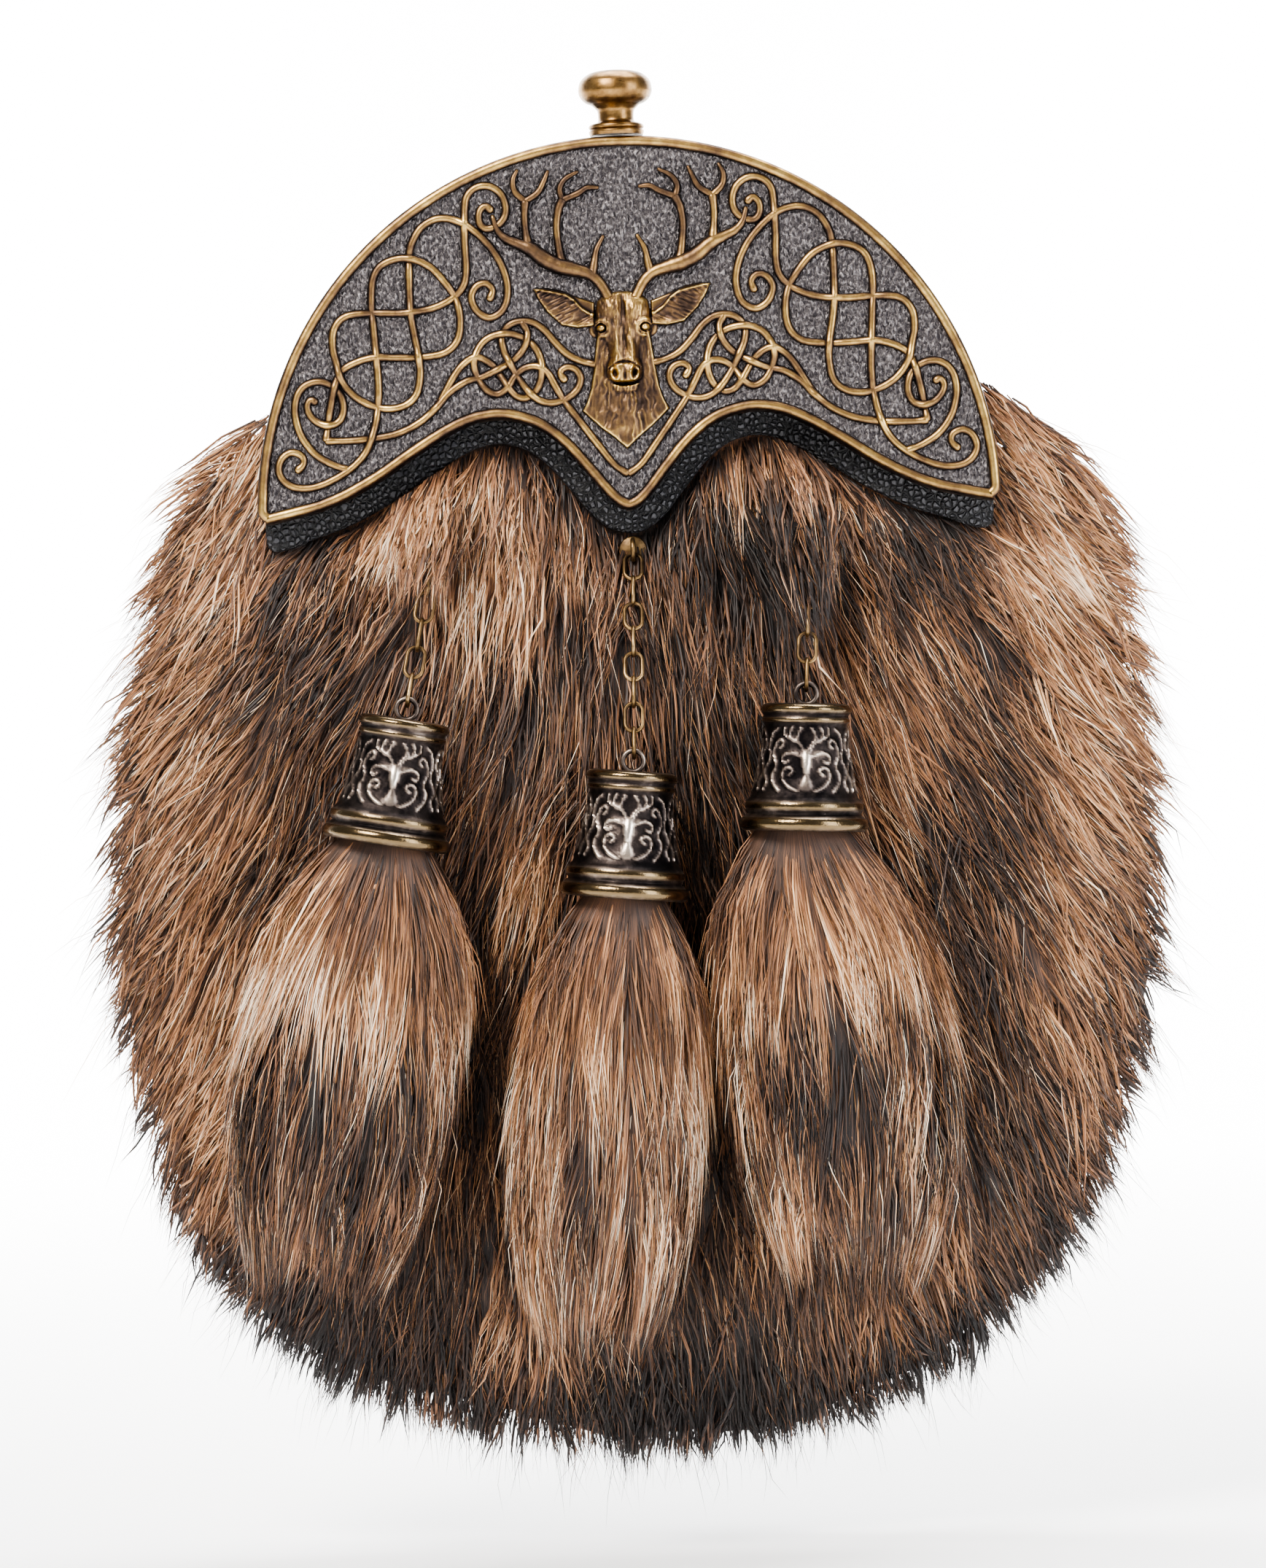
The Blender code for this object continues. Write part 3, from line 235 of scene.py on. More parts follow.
def pittedGround():
    # the ground of the casting, pebbled like hide and blackened: dark grey, with painted glints of lighter
    # grey on the pebbles
    material, tree, shader = newMaterial("blackened_cast_ground")
    place = addNode(tree, "TexCoord")
    # pebbles about 0.55 mm across and 0.9 mm high
    tall = addNode(tree, "Mapping", {"Scale": (1.0, 1.0, 0.62)}, {"Vector": place.outputs["Object"]})
    pebbles = addNode(tree, "TexNoise",
                      {"Scale": 1800.0, "Detail": 1.5, "Roughness": 0.5, "Distortion": 0.6},
                      {"Vector": tall.outputs[0]})
    grain = addNode(tree, "TexNoise", {"Scale": 4200.0, "Detail": 2.0}, {"Vector": place.outputs["Object"]})
    height = addNode(tree, "Math", {"operation": "MULTIPLY_ADD", 1: 0.15},
                     {0: grain.outputs["Fac"], 2: pebbles.outputs["Fac"]})
    # painted glints: the colour is lighter grey where the pebbles stand highest
    ramp = addNode(tree, "ValToRGB", {"stops": [(0.36, "#2F2C2E"), (0.54, "#4E4A4A"), (0.74, "#858080")]},
                   {0: pebbles.outputs["Fac"]})
    bump = addNode(tree, "Bump", {"Strength": 1.0, "Distance": 0.0006}, {"Height": height.outputs[0]})
    shader.inputs["Metallic"].default_value = 0.9
    shader.inputs["Roughness"].default_value = 0.36
    linkShader(tree, shader, ramp.outputs["Color"], None, bump.outputs[0])
    return material


def turnedBrass():
    # lacquered turned brass, gone brown: fine turning lines and darker blotches
    material, tree, shader = newMaterial("aged_turned_brass")
    place = addNode(tree, "TexCoord")
    # turning lines about 0.17 mm apart, and blotches about 3 mm across
    lines = addNode(tree, "Mapping", {"Scale": (1.0, 1.0, 14.0)}, {"Vector": place.outputs["Object"]})
    turning = addNode(tree, "TexNoise", {"Scale": 420.0, "Detail": 3.0}, {"Vector": lines.outputs[0]})
    blotch = addNode(tree, "TexNoise", {"Scale": 330.0, "Detail": 4.0, "Roughness": 0.6},
                     {"Vector": place.outputs["Object"]})
    ramp = addNode(tree, "ValToRGB", {"stops": [(0.30, "#56402A"), (0.5, "#7A5E3A"), (0.70, "#9C7C50")]},
                   {0: blotch.outputs["Fac"]})
    gloss = addNode(tree, "MapRange", {1: 0.3, 2: 0.7, 3: 0.26, 4: 0.42}, {0: turning.outputs["Fac"]})
    bump = addNode(tree, "Bump", {"Strength": 0.12, "Distance": 0.0001}, {"Height": turning.outputs["Fac"]})
    shader.inputs["Metallic"].default_value = 1.0
    linkShader(tree, shader, ramp.outputs["Color"], gloss.outputs[0], bump.outputs[0])
    return material


def pebbledLeather():
    # black cowhide pressed with a pebble grain about 1.2 mm across, with a low shine on the pebbles
    material, tree, shader = newMaterial("pebbled_cowhide")
    place = addNode(tree, "TexCoord")
    # the pebbles' edges are bent by noise, and pores of about 0.2 mm lie over them
    bend = addNode(tree, "TexNoise", {"Scale": 500.0, "Detail": 2.0}, {"Vector": place.outputs["Object"]})
    warp = addNode(tree, "Mix", {"data_type": "VECTOR", 0: 0.0012},
                   {4: place.outputs["Object"], 5: bend.outputs["Color"]})
    pebble = addNode(tree, "TexVoronoi", {"Scale": 850.0, "Randomness": 0.9, "feature": "DISTANCE_TO_EDGE"},
                     {"Vector": warp.outputs[1]})
    dome = addNode(tree, "MapRange", {1: 0.0, 2: 0.28, 3: 0.0, 4: 1.0, "interpolation_type": "SMOOTHSTEP"},
                   {0: pebble.outputs["Distance"]})
    fine = addNode(tree, "TexNoise", {"Scale": 5200.0, "Detail": 2.0}, {"Vector": place.outputs["Object"]})
    height = addNode(tree, "Math", {"operation": "MULTIPLY_ADD", 1: 0.12},
                     {0: fine.outputs["Fac"], 2: dome.outputs[0]})
    # painted highlight and shade: the colour is lighter on the pebbles' domes and near black in the creases
    # between them
    ramp = addNode(tree, "ValToRGB", {"stops": [(0.0, "#060607"), (0.6, "#19191B"), (1.0, "#2F2F33")]},
                   {0: dome.outputs[0]})
    gloss = addNode(tree, "MapRange", {1: 0.0, 2: 1.0, 3: 0.60, 4: 0.30}, {0: dome.outputs[0]})
    bump = addNode(tree, "Bump", {"Strength": 1.0, "Distance": 0.00045}, {"Height": height.outputs[0]})
    linkShader(tree, shader, ramp.outputs["Color"], gloss.outputs[0], bump.outputs[0])
    return material


def waxedThread():
    # waxed linen thread, twisted: black with a soft shine
    material, tree, shader = newMaterial("waxed_linen_thread")
    place = addNode(tree, "TexCoord")
    # marks of the twist, about 0.4 mm across
    twist = addNode(tree, "TexNoise", {"Scale": 2400.0, "Detail": 2.0}, {"Vector": place.outputs["Object"]})
    ramp = addNode(tree, "ValToRGB", {"stops": [(0.3, "#2A2723"), (0.7, "#4A453D")]},
                   {0: twist.outputs["Fac"]})
    shader.inputs["Roughness"].default_value = 0.5
    linkShader(tree, shader, ramp.outputs["Color"], None, None)
    return material


def longHair(name, shine):
    # guard hair, banded by nature: near black, brown, ginger and cream, its tone kept in an attribute
    material, tree, shader = newMaterial(name)
    tone = addNode(tree, "Attribute", {"attribute_name": "hairTone"})
    # the attribute holds millimetres across and along a hair, and a number of the hair's own
    place = addNode(tree, "Attribute", {"attribute_name": "hairPlace"})
    # single hairs in a lock: streaks about 0.15 mm wide and 12 mm long
    stretched = addNode(tree, "Mapping", {"Scale": (6.5, 0.08, 1.0)}, {"Vector": place.outputs["Vector"]})
    streak = addNode(tree, "TexNoise", {"Scale": 1.0, "Detail": 2.0, "Roughness": 0.6},
                     {"Vector": stretched.outputs[0]})
    shift = addNode(tree, "MapRange", {1: 0.3, 2: 0.7, 3: -0.24, 4: 0.24}, {0: streak.outputs["Fac"]})
    mixed = addNode(tree, "Math", {"operation": "ADD", "use_clamp": True},
                    {0: tone.outputs["Fac"], 1: shift.outputs[0]})
    ramp = addNode(tree, "ValToRGB", {"stops": [
        (0.0, "#130F0E"), (0.22, "#271D1A"), (0.42, "#503A2C"), (0.58, "#82593F"),
        (0.72, "#AB7B52"), (0.86, "#D2AB85"), (1.0, "#F1E2CC")]}, {0: mixed.outputs[0]})
    bump = addNode(tree, "Bump", {"Strength": 0.7, "Distance": 0.00008}, {"Height": streak.outputs["Fac"]})
    shader.inputs["Roughness"].default_value = shine
    shader.inputs["Specular IOR Level"].default_value = 0.38
    linkShader(tree, shader, ramp.outputs["Color"], None, bump.outputs[0])
    return material


brassCast = antiqueCasting("patinated_cast_brass", [
    (0.0, "#1A1514"), (0.25, "#3D312B"), (0.5, "#6A533C"), (0.75, "#A08250"), (1.0, "#E0C07A")])
bellCast = antiqueCasting("antiqued_nickel_bronze", [
    (0.0, "#141213"), (0.25, "#332D2B"), (0.5, "#6C615A"), (0.75, "#A89A8C"), (1.0, "#E4D9CB")],
    polish="#6A5A42")
chainCast = antiqueCasting("browned_brass_wire", [
    (0.0, "#221C19"), (0.3, "#4A3B2B"), (0.55, "#776041"), (0.8, "#A28863"), (1.0, "#D2BE9B")])
groundCast = pittedGround()
brassTurned = turnedBrass()
leather = pebbledLeather()
thread = waxedThread()
hairFur = longHair("raccoon_guard_hair", 0.52)
hairTassel = longHair("bound_tassel_hair", 0.50)


plate = {
    "radius": 72.5, "centreZ": -36.5, "back": -34.6, "face": -40.6, "wall": 1.8,
    "corner": 2.8, "tip": 3.0, "beadWidth": 2.1, "beadRise": 1.15,
    "layoutRadius": 510, "layoutLean": math.radians(2.0),
    "strandRadius": 0.84, "strandWeave": 0.44, "weaveRun": 1.35, "antlerSwell": 1.1,
}

# lower edge of the plate, right half: columns across and up, as shares of the plate's radius
lowerEdgeTable = [
    (0.868, 0.008), (0.770, 0.042), (0.668, 0.095), (0.580, 0.152), (0.495, 0.204), (0.425, 0.237),
    (0.361, 0.250), (0.308, 0.246), (0.240, 0.222), (0.175, 0.172), (0.110, 0.097), (0.050, 0.024),
]

# interlaced strands, left half: columns right and up in layout units, 510 to the plate's radius
strandTable = {
    "shoulderKnot": [
        (-189, 406), (-198, 413), (-206, 405), (-206, 391), (-198, 382), (-183, 385), (-172, 397),
        (-170, 413), (-177, 430), (-192, 440), (-209, 439), (-222, 428), (-226, 411), (-226, 366),
        (-224, 326), (-228, 303), (-245, 285), (-273, 272), (-313, 266), (-358, 266), (-390, 261),
        (-405, 244), (-407, 220), (-402, 198), (-395, 174), (-378, 153), (-355, 140), (-330, 135),
        (-307, 140), (-292, 155), (-287, 181), (-289, 206), (-295, 236), (-300, 266), (-302, 306),
        (-302, 346), (-296, 368), (-283, 386), (-261, 396), (-235, 392), (-211, 377), (-188, 353),
        (-173, 326), (-167, 298), (-173, 272), (-191, 260), (-209, 269), (-217, 288), (-210, 303),
        (-197, 307), (-188, 298), (-192, 284),
    ],
    "cornerScroll": [
        (-456, 49), (-447, 59), (-449, 70), (-463, 75), (-476, 67), (-481, 51), (-474, 36), (-458, 27),
        (-433, 27), (-405, 38), (-378, 56), (-360, 78), (-350, 106), (-345, 136), (-344, 166),
        (-347, 206), (-351, 246), (-354, 281), (-352, 311), (-342, 330), (-321, 340), (-298, 340),
        (-273, 329), (-253, 308), (-238, 285), (-232, 256), (-236, 229), (-253, 212), (-283, 206),
        (-318, 205), (-351, 205), (-376, 198), (-395, 186), (-404, 166), (-410, 136), (-414, 108),
        (-416, 91),
    ],
    "groundLine": [
        (-416, 91), (-388, 91), (-353, 94), (-318, 101), (-288, 116), (-265, 136), (-248, 156),
        (-225, 172), (-201, 179), (-178, 190), (-156, 204), (-143, 222), (-140, 240), (-148, 255),
    ],
    "leafLoop": [
        (-429, 143), (-437, 147), (-442, 138), (-437, 125), (-425, 115), (-410, 112), (-397, 119),
        (-392, 136), (-397, 155), (-411, 168), (-429, 172), (-447, 165), (-457, 148), (-458, 124),
        (-449, 96), (-431, 73), (-408, 59), (-385, 51),
    ],
    "centreKnot": [
        (-265, 136), (-252, 159), (-241, 179), (-229, 195), (-214, 205), (-200, 203), (-186, 193),
        (-175, 178), (-165, 163), (-154, 152), (-141, 150), (-128, 160), (-121, 178), (-121, 199),
        (-128, 217), (-141, 230), (-159, 237), (-180, 237), (-198, 229), (-209, 214), (-213, 196),
        (-207, 176), (-196, 161), (-181, 155), (-167, 164), (-157, 180), (-143, 191), (-126, 193),
        (-112, 184), (-102, 167), (-90, 147), (-68, 118), (-43, 86), (-21, 59), (-2, 46),
    ],
    "neckScroll": [
        (-46, 196), (-65, 200), (-84, 209), (-101, 225), (-116, 242), (-132, 253), (-150, 255),
        (-166, 249), (-175, 235), (-173, 217), (-164, 198), (-154, 180), (-141, 162), (-126, 148),
        (-108, 143), (-88, 148), (-72, 161), (-67, 177), (-74, 189), (-86, 192), (-95, 185), (-88, 173),
    ],
}

# left antler: columns right and up in layout units, and the bar's radius there
antlerTable = {
    "beam": [
        (-28, 287, 7), (-41, 308, 7), (-56, 320, 8), (-78, 326, 9.5), (-98, 331, 10.8), (-118, 341, 10),
        (-136, 354, 9.6), (-155, 362, 7), (-171, 369, 6), (-182, 381, 4.5), (-188, 399, 3),
    ],
    "browTine": [(-51, 320, 7), (-48, 338, 5), (-45, 354, 4), (-36, 372, 2.5)],
    "secondTine": [(-92, 332, 8), (-96, 351, 5.5), (-100, 381, 5), (-98, 406, 5.5), (-92, 421, 6.5)],
    "secondInnerPoint": [(-92, 421, 5), (-71, 430, 4.5), (-58, 438, 4), (-43, 438, 2.5)],
    "secondOuterPoint": [(-92, 421, 5), (-96, 436, 4.5), (-88, 450, 4), (-71, 460, 2.5)],
    "thirdTine": [(-139, 356, 8), (-142, 376, 5.5), (-144, 398, 5), (-143, 419, 6.5)],
    "thirdInnerPoint": [(-143, 419, 5), (-126, 431, 4.5), (-118, 446, 4), (-112, 461, 2.5)],
    "thirdOuterPoint": [(-143, 419, 5), (-157, 432, 4.5), (-160, 448, 4), (-154, 462, 2.5)],
}


def onPlate(table):
    # layout right and up, turned upright by the layout's lean and scaled to the plate, in x and z
    table = np.asarray(table, float)
    scale = plate["radius"] / plate["layoutRadius"]
    c, s = math.cos(plate["layoutLean"]), math.sin(plate["layoutLean"])
    x = (table[:, 0] * c + table[:, 1] * s) * scale
    z = plate["centreZ"] + (table[:, 1] * c - table[:, 0] * s) * scale
    return np.column_stack([x, z])


def lowerEdge():
    # lower edge of the plate from right to left, with its rounded middle tip
    right = np.array(lowerEdgeTable) * plate["radius"] + [0, plate["centreZ"]]
    tip = [[0.0, right[-1, 1] - plate["tip"] * 0.7]]
    return np.vstack([right, tip, right[::-1] * [-1, 1]])


def plateOutline(step):
    # closed outline, anticlockwise seen from the front: corner, big arc, corner and lower edge
    r, c = plate["radius"], plate["corner"]
    angles = np.linspace(math.asin(0.03), math.pi - math.asin(0.03), 90)
    arc = np.column_stack([r * np.cos(angles), plate["centreZ"] + r * np.sin(angles)])
    turn = np.radians(np.linspace(-80, -15, 6))
    corner = np.column_stack([r - c + c * np.cos(turn), plate["centreZ"] + 0.7 * c + c * np.sin(turn)])
    edge = evenCurve(lowerEdge(), 2.0)[::-1]
    return evenCurve(np.vstack([corner, arc, corner[::-1] * [-1, 1], edge[1:-1]]), step, closed=True)


def inward(outline):
    # unit normals that point into a closed anticlockwise outline, smoothed over three steps
    along = np.roll(outline, -1, axis=0) - np.roll(outline, 1, axis=0)
    normal = np.column_stack([-along[:, 1], along[:, 0]])
    normal = normal + np.roll(normal, 1, axis=0) + np.roll(normal, -1, axis=0)
    return normal / np.linalg.norm(normal, axis=1)[:, None]


def cantleRim():
    # a half round bead, the outer wall and the inner wall, as one closed profile carried round the outline
    outline = plateOutline(0.7)
    normal = inward(outline)
    w, rise, face, back, wall = (plate[k] for k in ("beadWidth", "beadRise", "face", "back", "wall"))
    turn = np.linspace(0, math.pi, 10)
    bead = np.column_stack([w / 2 - w / 2 * np.cos(turn), face - rise * np.sin(turn) ** 0.8])
    profile = np.vstack([[(wall, back), (0.25, back), (0.0, back - 0.25)], bead,
                         [(w, face + 0.5), (wall, face + wall)]])
    points = np.empty((len(outline), len(profile), 3))
    points[:, :, [0, 2]] = outline[:, None] + normal[:, None] * profile[None, :, :1]
    points[:, :, 1] = profile[None, :, 1]
    # the bead is worn bright on its crest; down its sides and into the corner with the ground it darkens,
    # patina with painted shade
    rubbed = np.zeros(len(profile))
    rubbed[3:13] = 0.12 + 0.62 * np.sin(turn) ** 2
    rubbed[:3] = 0.25
    piece = addMesh("cantleRim", points, gridQuads(len(outline), len(profile), True, True), [], brassCast,
                    {"rubbed": np.broadcast_to(rubbed, points.shape[:2])}, turnOut=True)
    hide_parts("cantle")


def cantleGround():
    # the sheet of metal behind the relief: for each x, a straight line from the lower edge up to the arc
    outline = plateOutline(0.5)
    inner = outline + inward(outline) * 1.2
    turn = np.linspace(-math.pi / 2, math.pi / 2, 180)[1:-1]
    x = np.sin(turn) * (np.abs(inner[:, 0]).max() - 0.05)
    upperHalf = inner[:, 1] > np.interp(np.abs(inner[:, 0]), [0, 40, 60, 80], [-20, -10, -30, -34.2])
    upper, lower = inner[upperHalf], inner[~upperHalf]
    top = np.interp(x, *upper[np.argsort(upper[:, 0])].T)
    bottom = np.interp(x, *lower[np.argsort(lower[:, 0])].T)
    share = np.linspace(0, 1, 10)[:, None]
    z = bottom + (top - bottom) * share
    grid = np.empty((2, 10, len(x), 3))
    grid[..., 0] = x
    grid[..., 2] = z
    wave = 0.05 * smoothNoise(np.broadcast_to(x, z.shape) / 3 + 50, z / 3 + 50, 4)
    grid[0, ..., 1] = plate["face"] + wave
    grid[1, ..., 1] = plate["face"] + plate["wall"] * 0.95
    n = 10 * len(x)
    index = np.arange(n).reshape(10, len(x))
    loop = np.concatenate([index[0, :-1], index[:-1, -1], index[-1, :0:-1], index[:0:-1, 0]])
    wall = np.column_stack([loop, np.roll(loop, -1), np.roll(loop, -1) + n, loop + n])
    quads = np.vstack([gridQuads(10, len(x)), gridQuads(10, len(x), first=n)[:, ::-1], wall])
    piece = addMesh("cantleGround", grid, quads, [], groundCast, turnOut=True)
    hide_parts("cantle")


def crossingsOf(routes):
    # where strands cross: solve each pair of short steps for the shares at which they meet
    found = []
    for a in range(len(routes)):
        for b in range(a, len(routes)):
            p, q = routes[a], routes[b]
            d1, d2 = np.diff(p, axis=0)[:, None], np.diff(q, axis=0)[None]
            gap = q[None, :-1] - p[:-1, None]
            cross = d1[..., 0] * d2[..., 1] - d1[..., 1] * d2[..., 0]
            cross[np.abs(cross) < 1e-9] = np.inf
            s = (gap[..., 0] * d2[..., 1] - gap[..., 1] * d2[..., 0]) / cross
            t = (gap[..., 0] * d1[..., 1] - gap[..., 1] * d1[..., 0]) / cross
            for i, j in np.argwhere((s > 0) & (s <= 1) & (t > 0) & (t <= 1)):
                if a != b or j > i + 8:
                    found.append((a, i + s[i, j], b, j + t[i, j]))
    return found


def weaveLifts(routes, step):
    # each strand goes over, under, over along its length: a soft hump or dip round every crossing
    lifts = [np.zeros(len(route)) for route in routes]
    marks = [[] for _ in routes]
    for number, (a, s, b, t) in enumerate(crossingsOf(routes)):
        marks[a].append((s, number))
        marks[b].append((t, number))
    over = {}
    for strand, mark in enumerate(marks):
        state = 1
        for position, number in sorted(mark):
            if number in over:
                state = 1 if over[number] == strand else -1
            elif state > 0:
                over[number] = strand
            reach = (np.arange(len(lifts[strand])) - position) * step / plate["weaveRun"]
            lifts[strand] += state * np.exp(-reach ** 2)
            state = -state
    return lifts


def tube(path, radius, sides, flatten=1.0):
    # a round moulding: rings across the path, drawn to a point at both ends
    along = np.gradient(path, axis=0)
    along /= np.linalg.norm(along, axis=1)[:, None]
    front = np.array([0.0, -1.0, 0.0])
    across = np.cross(along, front)
    across /= np.linalg.norm(across, axis=1)[:, None]
    turn = 2 * math.pi * np.arange(sides) / sides
    reach = np.asarray(radius)[:, None, None]
    ring = across[:, None] * np.cos(turn)[None, :, None] + front * flatten * np.sin(turn)[None, :, None]
    points = path[:, None] + ring * reach
    firstPole = path[:1] - along[:1] * radius[0] * 0.6
    lastPole = path[-1:] + along[-1:] * radius[-1] * 0.6
    points = np.vstack([points.reshape(-1, 3), firstPole, lastPole])
    count = len(path) * sides
    quads = gridQuads(len(path), sides, closeColumns=True)
    tris = endFans(sides, count)
    values = np.broadcast_to(np.sin(turn), (len(path), sides))
    return points, quads, tris, np.concatenate([values.ravel(), [0.4, 0.4]])


def cantleStrands():
    # the knotwork: both halves, each strand a round moulding that weaves through the others
    step = 0.48
    flat = [evenCurve(onPlate(points), step) for points in strandTable.values()]
    lifts = weaveLifts(flat, step)
    parts = []
    for side in (1, -1):
        for number, (route, lift) in enumerate(zip(flat, lifts)):
            radius = np.full(len(route), plate["strandRadius"])
            ends = np.minimum(np.arange(len(route)), np.arange(len(route))[::-1]) * step
            radius *= 0.86 + 0.14 * np.clip(ends / 6, 0, 1) + 0.22 * np.exp(-((ends - 0.6) / 0.8) ** 2)
            y = plate["face"] - 0.16 - lift * plate["strandWeave"] - number * 0.004
            points, quads, tris, facing = tube(np.column_stack([side * route[:, 0], y, route[:, 1]]),
                                               radius, 10)
            height = np.append(np.repeat(lift, 10), [0, 0])
            # bright where the crest faces out, from wear, and darker down the sides as painted shade; each
            # strand is painted darker where it dips under another and lighter where it rides over, painted
            # shade at the crossings
            rubbed = 0.05 + 0.62 * smoothStep(facing, 0.30, 1.0) + 0.12 * height
            parts.append((points, quads, tris, rubbed))
    points, quads, tris, rubbed = joined(parts)
    piece = addMesh("cantleStrands", points, quads, tris, brassCast, {"rubbed": rubbed}, turnOut=True)
    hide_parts("cantle")


def cantleAntlers():
    # tapering round bars, the beam first and the tines growing out of it
    scale = plate["radius"] / plate["layoutRadius"]
    parts = []
    for side in (1, -1):
        for number, table in enumerate(antlerTable.values()):
            table = np.array(table, float)
            line = evenCurve(np.column_stack([onPlate(table[:, :2]), table[:, 2] * scale]), 0.5)
            knurl = 1 + 0.05 * smoothNoise(np.arange(len(line)) * 0.9, np.full(len(line), 3.0 + number), 8)
            y = plate["face"] - 0.42 - line[:, 2] * 0.22
            path = np.column_stack([side * line[:, 0], y, line[:, 1]])
            points, quads, tris, facing = tube(path, line[:, 2] * knurl * plate["antlerSwell"], 12)
            # bright where the bar faces out, from wear, and darker down its sides as painted shade
            parts.append((points, quads, tris, 0.04 + 0.50 * smoothStep(facing, 0.25, 1.0)))
    points, quads, tris, rubbed = joined(parts)
    piece = addMesh("cantleAntlers", points, quads, tris, brassCast, {"rubbed": rubbed}, turnOut=True)
    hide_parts("cantle")


# stag's mask and neck from the top down, in layout units: up, half width, and height in millimetres
maskRows = [
    (297, 7, 0.5), (293, 25, 1.3), (284, 35, 1.9), (268, 38, 2.2),
    (250, 40, 2.3), (234, 36, 2.4), (216, 28, 2.6),
    (205, 24, 2.9), (196, 26, 3.2), (185, 27, 3.3), (173, 25, 3.0),
    (166, 21, 2.3), (160, 19, 2.1), (154, 15, 1.3), (151, 8, 0.5),
]
neckRows = [
    (268, 28, 1.0), (240, 37, 1.2), (215, 41, 1.3), (190, 44, 1.4),
    (165, 48, 1.4), (147, 54, 1.4), (134, 61, 1.3),
    (125, 52, 1.3), (110, 36, 1.3), (95, 17, 1.2), (84, 5, 1.1), (80, 1, 0.8),
]
# ear's outline on the right side, in layout units
earOutline = [(38, 283), (60, 291), (86, 302), (108, 306), (123, 304), (116, 288), (104, 270), (84, 251),
              (62, 247), (38, 249)]


def insideDistance(x, z, outline):
    # distance to the nearest edge of a closed outline, counted positive inside it
    outline = np.asarray(outline, float)
    inside = np.zeros(x.shape, bool)
    nearest = np.full(x.shape, 1e9)
    for (x1, z1), (x2, z2) in zip(outline, np.roll(outline, -1, axis=0)):
        t = np.clip(((x - x1) * (x2 - x1) + (z - z1) * (z2 - z1)) / ((x2 - x1) ** 2 + (z2 - z1) ** 2), 0, 1)
        nearest = np.minimum(nearest, np.hypot(x - x1 - t * (x2 - x1), z - z1 - t * (z2 - z1)))
        crosses = (z1 > z) != (z2 > z)
        slope = (x2 - x1) / (z2 - z1 if z2 != z1 else 1e-9)
        inside ^= crosses & (x < x1 + (z - z1) * slope)
    return np.where(inside, nearest, -nearest)


def bump(x, z, px, pz, rx, rz):
    # a round hill of height 1 at px, pz
    return np.exp(-((x - px) / rx) ** 2 - ((z - pz) / rz) ** 2)


def rowsAt(table, z):
    # half width and height of a form at height z, from its rows
    rows = np.array(table[::-1], float)
    return (np.interp(z, rows[:, 0], rows[:, 1], left=0.01, right=0.01),
            np.interp(z, rows[:, 0], rows[:, 2], left=0, right=0))


def stagNeck(signed, x, z):
    # a flattened bar with wavy ridges of hair that fan out downwards, and a beard under the mouth
    w, crown = rowsAt(neckRows, z)
    edge = smoothStep(w - x, 0, 3.5) ** 0.5
    neck = crown * edge * (0.72 + 0.28 * np.cos(np.clip(x / 60, 0, 1) * math.pi / 2))
    fan = signed / (1.0 + 0.0045 * (250 - z)) + 1.6 * smoothNoise(signed / 14 + 70, z / 9 + 70, 20)
    ridges = 1 - 2 * np.abs(smoothNoise(fan / 3.6 + 300, z / 24 + 20, 21))
    hair = ridges + 0.5 * smoothNoise(fan / 1.7 + 90, z / 9 + 40, 22)
    beard = bump(x, z, 0, 134, 17, 19)
    return neck + 0.17 * hair * smoothStep(neck, 0.3, 1.0) + 0.45 * beard - 0.25 * bump(x, z, 22, 140, 5, 20)


